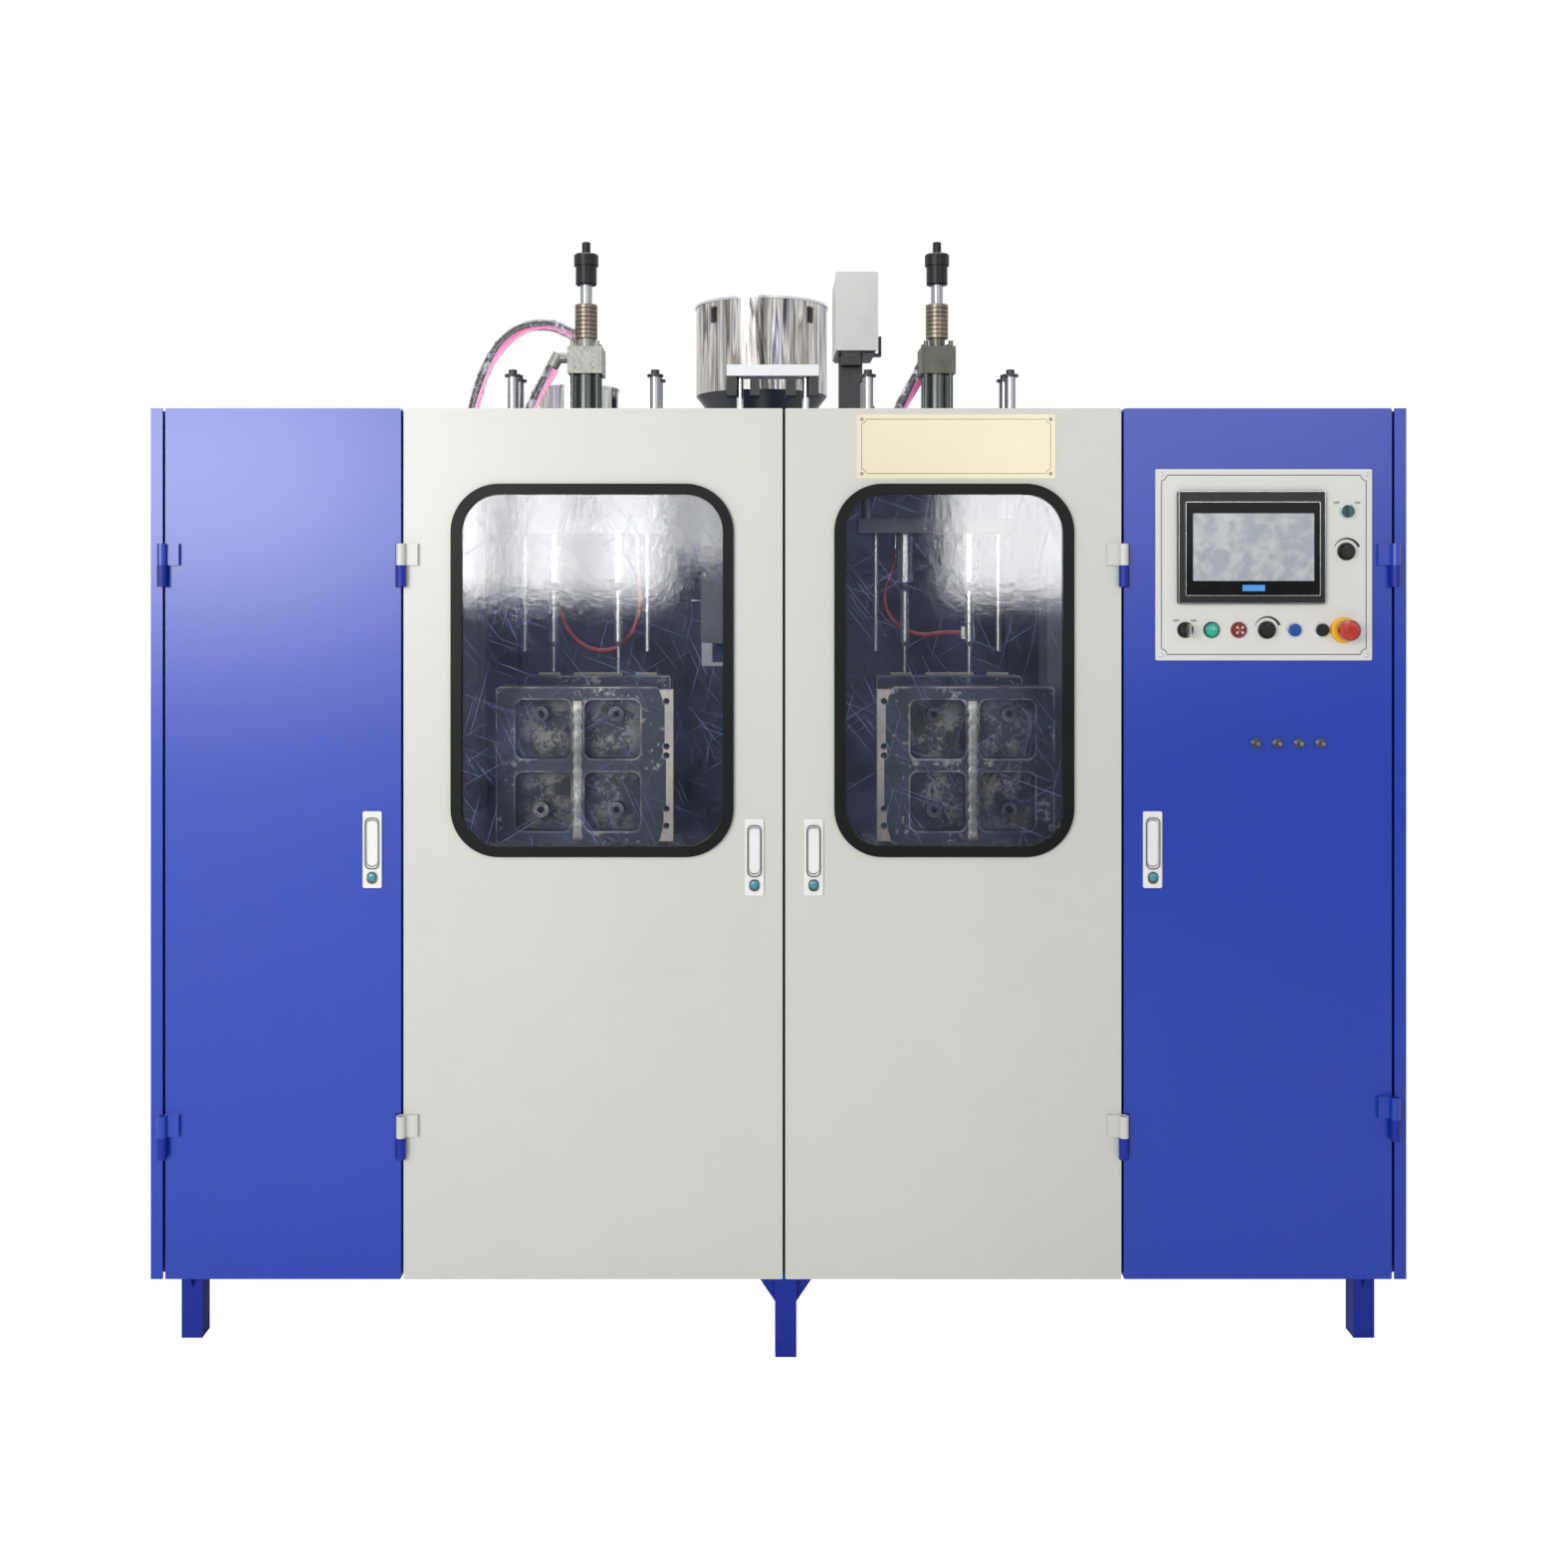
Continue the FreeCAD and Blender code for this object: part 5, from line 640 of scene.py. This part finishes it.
for side in ("left", "right"):
    for finish, test in ((black_plastic, band(CAP_LOW, FAR)), (black_paint, guide_cap),
                         (pin_steel, band(0, PIN_TOP)), (dark_steel, band(PIN_TOP, HEAD_TOP)),
                         (black_paint, band(NUT_LOW, NUT_TOP))):
        repaint(f"{side}_blow_carriage", finish, test)
repaint("blow_cylinders", worn_block, band(BLOCK_LOW, FAR, left=0))
repaint("blow_cylinders", gun_paint, band(0, BLOCK_LOW - 1))
# painted shade: the front face of the centre post is black for the dark seam between the guard
# doors, and the frame inside the cabinet, its panels and covers are dark grey for the shade inside
SEAM_SHADE_FACE = (-60, -975, 170), (60, -970, 1740)
INNER_FRAME = (-1100, -950, 400), (1100, 240, 1740)
repaint("base_frame", black_rubber, within(*SEAM_SHADE_FACE))
repaint("base_frame", inner_shade, within(*INNER_FRAME))
PANEL_LIP, SHEET_FACE = 1140 * MM, 0.2 * MM
for panel, inward in (("left_side_panel", 1), ("right_side_panel", -1)):
    panel_inside = span(panel)[2].x
    repaint(panel, inner_shade, lambda middle: (middle.x - panel_inside) * inward > 0
            and abs(middle.x) < PANEL_LIP)
rear_inside = span("rear_covers")[0].y + SHEET_FACE
repaint("rear_covers", inner_shade, lambda middle: middle.y < rear_inside)
repaint("lift_beam", black_paint, band(0, BEAM_LOW - 0.5))

# ------------------------------------------------------------------ platens and hopper
# the drilled steel bar on the edge of each front platen that faces the middle, the bright bead
# down its centre rib, and the toothed neck plates along the top of the rear one
BAR_WIDE, BAR_FOOT, POCKET_FLOOR, REAR_FACE = 27.5 * MM, 5 * MM, -758 * MM, -424 * MM
BEAD_WIDE, BEAD_PROUD, BEAD_FOOT, BEAD_HEAD = 20 * MM, 3.5 * MM, 80 * MM, 28 * MM
SKIN = 0.06 * MM
PIN_SET, PIN_ROOM = 69 * MM, 13 * MM
TEETH, TOOTH_PITCH, TOOTH_GAP = 44, 6 * MM, 1 * MM
RAIL_SIZE, TOOTH_SIZE = (TOOTH_PITCH, 9 * MM, 3 * MM), (4 * MM, 7 * MM, 8 * MM)


def blocks(bm, sizes_and_places):
    """Cubes stretched to a size (wide, deep, tall) and put in place by a matrix."""
    for size, place_at in sizes_and_places:
        bmesh.ops.create_cube(bm, size=1, matrix=place_at @ Matrix.Diagonal((*size, 1)))


def bead(name, x, face, low, high, half, proud, material, body):
    """A half-round run of weld metal that bulges a little more at places, bright partly from being
    worn and partly as a painted highlight.
    """
    bm = bmesh.new()
    rows, steps = 40, 10
    rings = []
    for row in range(rows + 1):
        z = low + (high - low) * row / rows
        swell = 1 + 0.14 * math.sin(row * 1.7) + 0.08 * math.sin(row * 4.1 + 1)
        end = min(1, 0.25 + row / 2, 0.25 + (rows - row) / 2)
        rings.append([bm.verts.new((x + half * swell * math.cos(math.pi * step / steps),
                                    face - proud * swell * end * math.sin(math.pi * step / steps),
                                    z)) for step in range(steps + 1)])
    wrap(bm, rings)
    from_bmesh(name, bm, material, body)


def neck_comb(name, x, face, top, side):
    """Toothed strips on the top edge of the rear platen, with a gap for each blow pin."""
    bm = bmesh.new()
    for number in range(TEETH):
        at = x + (number - (TEETH - 1) / 2) * TOOTH_PITCH
        if min(abs(at - x - pin) for pin in (-PIN_SET, PIN_SET)) >= PIN_ROOM:
            blocks(bm, [(size, Matrix.Translation((at, face + size[1] / 2 + TOOTH_GAP,
                                                   top + size[2] / 2)))
                        for size in (RAIL_SIZE, TOOTH_SIZE)])
    from_bmesh(name, bm, comb_steel, f"{side}_rear", smooth=False)


for side, toward in (("left", 1), ("right", -1)):
    low, high, _ = span(f"{side}_front_platen")
    edge = high.x if toward > 0 else low.x
    repaint(f"{side}_front_platen", bar_steel,
            lambda middle: abs(middle.x - edge) < BAR_WIDE and middle.z > low.z + BAR_FOOT)
    repaint(f"{side}_front_platen", pocket_iron,
            lambda middle: abs(middle.y - POCKET_FLOOR) < SKIN)
    centre = (low.x + high.x - toward * BAR_WIDE) / 2
    bead(f"{side}_platen_bead", centre, low.y, low.z + BEAD_FOOT, high.z - BEAD_HEAD,
         BEAD_WIDE / 2, BEAD_PROUD, worn_sheen_steel, f"{side}_front")
    neck_comb(f"{side}_neck_plates", centre, REAR_FACE, high.z, side)

# the hopper: a darker cone, a rolled rim painted bright as a highlight, and two clips on its wall
hopper_mid = span("hopper")[2]
HOPPER_CONE, HOPPER_RIM, HOPPER_RADIUS = 1998, 2250, 189.8
# each clip's blocks: wide, deep, tall, how far out of the wall and how high, in millimetres
CLIP_BLOCKS = ((20, 3, 46, 1, 2214), (12, 6, 30, 4, 2210), (16, 4, 6, 5, 2230),
               (4, 4, 26, 7, 2216))
repaint("hopper", dark_steel, band(0, HOPPER_CONE - 0.5))
repaint("hopper", satin_chrome, band(HOPPER_RIM, FAR))
# painted shade: the clips are dark steel, standing for the shade round them on the bright wall
for number, degrees in enumerate((-45, 46), start=1):
    bm = bmesh.new()
    turn = Matrix.Rotation(math.radians(degrees), 4, "Z")
    blocks(bm, [((wide * MM, deep * MM, tall * MM),
                 Matrix.Translation((hopper_mid.x, hopper_mid.y, rise * MM)) @ turn
                 @ Matrix.Translation((0, -(HOPPER_RADIUS + out) * MM, 0)))
                for wide, deep, tall, out, rise in CLIP_BLOCKS])
    bmesh.ops.bevel(bm, geom=bm.edges[:], offset=0.9 * MM, segments=2, affect="EDGES")
    from_bmesh(f"hopper_clip_{number}", bm, dark_steel, "base", smooth=False)

# ------------------------------------------------------------------ hoses
UNION_TOP = 1765
OIL_ROUTES = {
    "arch_hose": ((-435.6, -541, 1989.6), (-470.2, -541, 2009.6), (-518, -541, 2014.6),
                  (-563.6, -541, 1999.8), (-599.3, -541, 1967.7), (-629.3, -541, 1915.7),
                  (-652.5, -541, 1844.4), (-658, -541, 1795), (-658, -541, UNION_TOP)),
    "drop_hose": ((-478.04, -582, 1916.36), (-502.3, -582, 1872.6), (-528.6, -582, 1818.7),
                  (-535.3, -582, 1789.5), (-535.3, -582, UNION_TOP)),
    "right_hose": ((311.96, -509, 1916.36), (287.7, -509, 1872.6), (262.7, -509, 1823.6),
                   (255, -509, 1792.6), (255, -509, UNION_TOP)),
}
AIR_ROUTES = {
    "left_air_hose": ((-474.5, -546, 1462), (-474.5, -546, 1424), (-463, -546, 1379),
                      (-438, -546, 1337), (-400, -546, 1311), (-354, -546, 1309),
                      (-317, -546, 1336), (-297, -546, 1380), (-292, -546, 1427),
                      (-298, -546, 1470), (-298, -546, 1502)),
    "right_air_hose": ((258, -546, 1530), (258, -546, 1499), (240, -546, 1461),
                       (231, -546, 1419), (244, -546, 1380), (276, -546, 1353),
                       (317, -546, 1341), (358, -546, 1349), (395, -546, 1349)),
}
OIL_HOSE, AIR_HOSE = 22 * MM, 10 * MM
# the coloured film lies on the front of each oil hose as a strip; both films bulge at places
STRIP_RIGHT, STRIP_RISE, STRIP_DOWN, STRIP_HALF = 8, 10.2, 7, 5
STRIP_THICK, FILM_OVER = 0.8 * MM, 5 * MM


def declare(name, route, diameter, material, body):
    """The hose itself, drawn in place of the CAD one, which is hidden."""
    tube = hose_curve(f"{name}_tube", route, diameter, material, body)
    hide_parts(name)


def bulge(curve, share, pace, shift=0):
    """Let a curve's width swell and shrink along its points."""
    for number, point in enumerate(curve.data.splines[0].points):
        point.radius = MM * (1 + share * math.sin(number * pace + shift))


for name, route in OIL_ROUTES.items():
    strip = hose_curve(f"{name}_film_edge",
                       [(x + STRIP_RIGHT, y - STRIP_RISE, z - STRIP_DOWN) for x, y, z in route],
                       STRIP_THICK, pink_film, "base")
    strip.data.extrude = STRIP_HALF
    bulge(strip, 0.5, 1.9, 1)
    film = hose_curve(f"{name}_film", route, OIL_HOSE + FILM_OVER, crinkled_film, "base")
    bulge(film, 0.07, 2.3)
    declare(name, route, OIL_HOSE, oil_hose_skin, "base")
for name, route in AIR_ROUTES.items():
    declare(name, route, AIR_HOSE, red_hose_skin,
            "left_blow" if name.startswith("left") else "right_blow")

# ------------------------------------------------------------------ doors and latches
LATCHES = {"left_cabinet_door": (-754.5, 959), "left_guard_door": (-45, 945),
           "right_guard_door": (65, 945), "control_door": (694.5, 959)}
# half sizes, depths and offsets of a latch in millimetres
LATCH_HALF_WIDE, LATCH_HALF_TALL, RECESS_HALF, RECESS_TALL = 18, 72, 11.2, 46
LATCH_FRONT, LATCH_BACK, RECESS_BACK, PLATE_FACE = -1009.5, -1002.1, -987, -1009
RECESS_RISE, LOCK_DROP, SLOT_CORNER, SLOT_LINE = 12, 50, 9, 1.9
WELL_HALF, WELL_DROP, WELL_RISE, WELL_FRONT, WELL_BACK = 9.5, 13, 9.5, 0.2, 0.5
CAP_PROFILE = ((7.2, 0), (7.2, 1.2), (6.2, 1.9), (0, 2.2))
PRINT_THICK = 0.15 * MM
for door, (x, z) in LATCHES.items():
    plate = within((x - LATCH_HALF_WIDE, LATCH_FRONT, z - LATCH_HALF_TALL),
                   (x + LATCH_HALF_WIDE, LATCH_BACK, z + LATCH_HALF_TALL))
    recess_low, recess_high = z + RECESS_RISE - RECESS_TALL, z + RECESS_RISE + RECESS_TALL
    recess = within((x - RECESS_HALF, LATCH_FRONT, recess_low),
                    (x + RECESS_HALF, RECESS_BACK, recess_high))
    repaint(door, latch_white,
            lambda middle: plate(middle) or (recess(middle)
                                             and abs(middle.y - DOOR_FRONT_Y) > SKIN))
    slot = rounded_outline(*(value * MM for value in (
        x - RECESS_HALF - 1, x + RECESS_HALF + 1, recess_low - 1, recess_high + 1, SLOT_CORNER)))
    flat_line(f"{door}_lever_slot", slot, PLATE_FACE * MM, SLOT_LINE * MM, PRINT_THICK,
              black_ink, door)
    lock_z = z - LOCK_DROP
    # painted shade: a dark plate round each lock cap stands for the shade in its well
    rounded_block(f"{door}_lock_well",
                  Vector((x - WELL_HALF, PLATE_FACE - WELL_FRONT, lock_z - WELL_DROP)) * MM,
                  Vector((x + WELL_HALF, PLATE_FACE + WELL_BACK, lock_z + WELL_RISE)) * MM,
                  9 * MM, lock_shadow, door, bevel=0.1 * MM)
    lathe(f"{door}_lock_cap", [(radius * MM, rise * MM) for radius, rise in CAP_PROFILE],
          x * MM, (PLATE_FACE - 0.1) * MM, lock_z * MM, teal_cap, door)

# ------------------------------------------------------------------ control panel
panel_low, panel_high, _ = span("control_plate")
hmi_low, hmi_high, _ = span("hmi_unit")
SCREW_SET, SCREW_RADIUS = 9.3 * MM, 4.2 * MM
BORDER_SET, BORDER_SCOOP, BORDER_LINE = 11 * MM, 10 * MM, 1.5 * MM
RIM_CORNER, RIM_LINE, RIM_THICK = 2.5 * MM, 0.8 * MM, 0.5 * MM
corner_screws("panel_screw", panel_low, panel_high, SCREW_SET, SCREW_RADIUS, satin_chrome,
              "control_door")
flat_line("panel_border", scooped(panel_low.x + BORDER_SET, panel_high.x - BORDER_SET,
                                  panel_low.z + BORDER_SET, panel_high.z - BORDER_SET,
                                  BORDER_SCOOP),
          panel_low.y, BORDER_LINE, PRINT_THICK, black_ink, "control_door")


def screen_block(name, left, right, low, high, front, back, corner, material, bevel):
    """A plate on the touch screen unit, in millimetres from the unit's lower left corner."""
    rounded_block(name, Vector((hmi_low.x + left * MM, hmi_low.y - front * MM,
                                hmi_low.z + low * MM)),
                  Vector((hmi_low.x + right * MM, hmi_low.y + back * MM, hmi_low.z + high * MM)),
                  corner * MM, material, "control_door", bevel=bevel * MM)


hmi_wide, hmi_tall = (hmi_high.x - hmi_low.x) / MM, (hmi_high.z - hmi_low.z) / MM
screen_block("hmi_glass", 15.5, hmi_wide - 12, 17, hmi_tall - 22, 0.6, 1.2, 1.5, glass_black, 0.6)
for name, left, right, low, high in (("hmi_rim", 1.5, 1.5, 1.5, 1.5),
                                     ("hmi_inner_rim", 14.4, 10.9, 15.9, 20.9)):
    flat_line(name, rounded_outline(hmi_low.x + left * MM, hmi_high.x - right * MM,
                                    hmi_low.z + low * MM, hmi_high.z - high * MM,
                                    RIM_CORNER),
              hmi_low.y, RIM_LINE, RIM_THICK, satin_chrome, "control_door")
screen_block("hmi_display", 27.5, hmi_wide - 22.5, 43, hmi_tall - 42, 0.85, -0.5, 1, display, 0.1)
screen_block("hmi_bar", 119, 160.5, 24, 35.5, 0.85, -0.5, 0.8, bar_blue, 0.1)

ROW_Z, SPEED_Z = 1367, 1512.6
KEY_X, LAMP_X, BUZZER_X, CUTTER_X, ESTOP_X, SPEED_X = 755, 803.7, 854.2, 906.4, 1047.4, 1053.7
VALVES_TOP, VALVE_TIP, KEY_BARREL = 1200, -1020.3, -1014.5


def around(x, low, high, front=-1004.9):
    """A test for switch faces between two radii of an axis and in front of the plate."""
    return lambda middle: (low * MM <= math.hypot(middle.x - x * MM, middle.z - ROW_Z * MM)
                           <= high * MM and middle.y < front * MM)


for finish, x, low, high in ((green_lens, LAMP_X, 0, 13.4), (black_plastic, LAMP_X, 13.4, 17),
                             (dark_red, BUZZER_X, 0, 16), (black_plastic, KEY_X, 0, 16),
                             (yellow_collar, ESTOP_X, 0, 26)):
    repaint("switch_bezels", finish, around(x, low, high))
repaint("switch_bezels", dark_steel, band(0, VALVES_TOP))
repaint("switch_bezels", bare_steel, within((-FAR, -FAR, 0), (FAR, VALVE_TIP, VALVES_TOP)))
repaint("start_key", black_plastic, within((-FAR, KEY_BARREL, 0), (FAR, FAR, FAR)))
# four pale petals on the face of the buzzer: reach in millimetres and turn in radians
BUZZER_FACE, PETAL_THICK = -1014 * MM, 0.3 * MM
PETAL = ((2.6, -0.2), (8.8, -0.3), (9.3, 0), (8.8, 0.3), (2.6, 0.2))
for number in range(4):
    angle = math.pi / 4 + math.pi / 2 * number
    petal = [((BUZZER_X + reach * math.cos(angle + turn)) * MM,
              (ROW_Z + reach * math.sin(angle + turn)) * MM) for reach, turn in PETAL]
    from_bmesh(f"buzzer_petal_{number + 1}", prism(petal, BUZZER_FACE - PETAL_THICK, BUZZER_FACE),
               pale_rose, "control_door", smooth=False)


def words(name, text, x, z, tall, y, material, body):
    """Printed letters, centred on a place of a plane facing the operator."""
    font = bpy.data.curves.new(name, "FONT")
    font.body = text
    font.size = tall
    font.align_x = "CENTER"
    font.extrude = LETTER_HALF
    font.offset = LETTER_BOLD
    piece = bpy.data.objects.new(name, font)
    piece.location = (x, y - LETTER_HALF, z)
    piece.rotation_euler = (math.radians(90), 0, 0)
    return place(piece, name, material, body)


LETTER, LETTER_HALF, LETTER_BOLD = 6.5 * MM, 0.08 * MM, 0.14 * MM
for name, text, x, z in (("selector_off", "OFF", 1036, 1601), ("selector_on", "ON", 1075, 1601),
                         ("key_off", "OFF", 738, 1382), ("key_on", "ON", 771, 1382)):
    words(name, text, x * MM, z * MM, LETTER, panel_low.y, black_ink, "control_door")


def tapered_arc(name, x, z, radius, y, material, body):
    """The mark over a rotary knob that grows from thin to thick."""
    bm = bmesh.new()
    steps, rings = 20, []
    for step in range(steps + 1):
        angle = math.radians(158 - 138 * step / steps)
        wide = (1 + 4.4 * step / steps) * MM
        rings.append([bm.verts.new((x + (radius + reach) * math.cos(angle), y - lift,
                                    z + (radius + reach) * math.sin(angle)))
                      for reach, lift in ((0, 0), (0, 0.2 * MM), (wide, 0.2 * MM), (wide, 0))])
    wrap(bm, rings)
    return from_bmesh(name, bm, material, body, smooth=False)


for name, x, z in (("speed_scale", SPEED_X, SPEED_Z), ("cutter_scale", CUTTER_X, ROW_Z)):
    tapered_arc(name, x * MM, z * MM, 22.5 * MM, panel_low.y, black_ink, "control_door")

# ------------------------------------------------------------------ name plate
plate_low, plate_high, _ = span("name_plate")
PLATE_SET, PLATE_SCOOP, PLATE_LINE, PLATE_SCREW = 9 * MM, 8 * MM, 1.2 * MM, 3.4 * MM
flat_line("name_plate_border", scooped(plate_low.x + PLATE_SET, plate_high.x - PLATE_SET,
                                       plate_low.z + PLATE_SET, plate_high.z - PLATE_SET,
                                       PLATE_SCOOP),
          plate_low.y, PLATE_LINE, PRINT_THICK, bronze, "right_guard_door")
corner_screws("name_plate_screw", plate_low, plate_high, PLATE_SET, PLATE_SCREW, bare_steel,
              "right_guard_door")

# ------------------------------------------------------------------ room and light
def set_piece(name, quads, material):
    """A piece of the set, from four corners for each of its faces."""
    bm = bmesh.new()
    for corners in quads:
        bm.faces.new([bm.verts.new(corner) for corner in corners])
    mesh = bpy.data.meshes.new(name)
    bm.to_mesh(mesh)
    bm.free()
    mesh.materials.append(material)
    piece = bpy.data.objects.new(name, mesh)
    scene.collection.objects.link(piece)
    return piece


# the floor takes shadows, and nearly fades into the white backdrop where the camera sees it
FLOOR_REACH, FLOOR_Z, FLOOR_FADE = 14, -0.5 * MM, 0.94
floor_material, tree, shader = new_material("floor")
shader.inputs["Base Color"].default_value = (0.92, 0.92, 0.92, 1)
shader.inputs["Roughness"].default_value = 0.9
glow = add(tree, "ShaderNodeEmission", Color=(1, 1, 1, 1), Strength=1.06)
paths = add(tree, "ShaderNodeLightPath")
blend = add(tree, "ShaderNodeMixShader")
dim = add(tree, "ShaderNodeMath", operation="MULTIPLY")
dim.inputs[1].default_value = FLOOR_FADE
join(tree, paths, "Is Camera Ray", dim, 0)
join(tree, dim, "Value", blend, "Fac")
join(tree, shader, "BSDF", blend, 1)
join(tree, glow, "Emission", blend, 2)
join(tree, blend, "Shader", tree.nodes["Material Output"], "Surface")
floor = set_piece("floor", [[(x * FLOOR_REACH, y * FLOOR_REACH, FLOOR_Z)
                             for x, y in ((-1, -1), (1, -1), (1, 1), (-1, 1))]], floor_material)

world = bpy.data.worlds.new("world")
scene.world = world
world.use_nodes = True
sky = world.node_tree
sky_light = sky.nodes["Background"]
sky_light.inputs["Color"].default_value = (0.86, 0.9, 1, 1)
sky_light.inputs["Strength"].default_value = 0.42
backdrop = add(sky, "ShaderNodeBackground", Color=(1, 1, 1, 1), Strength=1.0)
path = add(sky, "ShaderNodeLightPath")
shown = add(sky, "ShaderNodeMixShader")
seen = calculate(sky, "MAXIMUM", path, "Is Camera Ray", path, "Is Transmission Ray")
both = calculate(sky, "MAXIMUM", seen, "Value", path, "Is Glossy Ray")
join(sky, both, "Value", shown, "Fac")
join(sky, sky_light, "Background", shown, 1)
join(sky, backdrop, "Background", shown, 2)
join(sky, shown, "Shader", sky.nodes["World Output"], "Surface")


def soft_light(name, at, aim, wide, tall, watts):
    data = bpy.data.lights.new(name, "AREA")
    data.shape = "RECTANGLE"
    data.size, data.size_y = wide, tall
    data.energy = watts
    lamp = bpy.data.objects.new(name, data)
    scene.collection.objects.link(lamp)
    lamp.location = at
    lamp.rotation_euler = (Vector(aim) - Vector(at)).to_track_quat("-Z", "Y").to_euler()


# each lamp: place, aim, width, height and watts
LAMPS = {"key_light": ((-2.8, -5.2, 3.9), (0, -0.6, 1.0), 2.6, 2.0, 33),
         "fill_light": ((3.4, -5.6, 2.4), (0, -0.6, 1.0), 2.2, 2.2, 9),
         "top_light": ((0, -0.2, 4.6), (0, -0.3, 0.5), 3.2, 2.4, 70)}
for name, settings in LAMPS.items():
    soft_light(name, *settings)
# a row of soft boxes over a dark flag, which the panes and the gloss paint mirror.
# each box: left, right and lower edge, and its watts for a metre of width
FLAG_Y, FLAG_TOP, FLAG_HIGH, FLAG_REACH = -6.6, 1.4, 4.2, 6.5
BOX_HIGH, BOX_FRONT = FLAG_TOP + 1.42, 0.05
BOX_ROW = ((-4.6, -2.2, FLAG_TOP, 74), (-2.2, -1.5, FLAG_TOP, 32),
           (-1.42, -1.03, FLAG_TOP, 27), (-0.98, -0.55, FLAG_TOP, 27), (-0.5, -0.2, 1.6, 9),
           (1.0, 1.9, FLAG_TOP, 24), (2.0, 3.6, 2.1, 12))
for number, (left, right, low, watts) in enumerate(BOX_ROW, start=1):
    middle_x, middle_z = (left + right) / 2, (low + BOX_HIGH) / 2
    soft_light(f"soft_box_{number}", (middle_x, FLAG_Y + BOX_FRONT, middle_z),
               (middle_x, 0, middle_z), right - left, BOX_HIGH - low, watts * (right - left))

flag_material, tree, shader = new_material("flag_cloth")
weave = add(tree, "ShaderNodeTexNoise", Scale=2.0, Detail=3.0)
join(tree, spread(tree, weave, "Fac", 0.03, 0.08), "Result", shader, "Base Color")
shader.inputs["Roughness"].default_value = 0.9
# the cloth hangs under the whole row, under each raised box and between two boxes
sheets = [(-FLAG_REACH, FLAG_REACH, 0.0, FLAG_TOP)]
sheets += [(left, right, FLAG_TOP, low) for left, right, low, _ in BOX_ROW if low > FLAG_TOP]
sheets += [(before[1], after[0], FLAG_TOP, FLAG_HIGH)
           for before, after in zip(BOX_ROW, BOX_ROW[1:]) if after[0] > before[1]]
flag = set_piece("flag", [[(left, FLAG_Y, low), (right, FLAG_Y, low), (right, FLAG_Y, high),
                           (left, FLAG_Y, high)] for left, right, low, high in sheets],
                 flag_material)
flag.visible_camera = False

scene.view_settings.view_transform = "Standard"
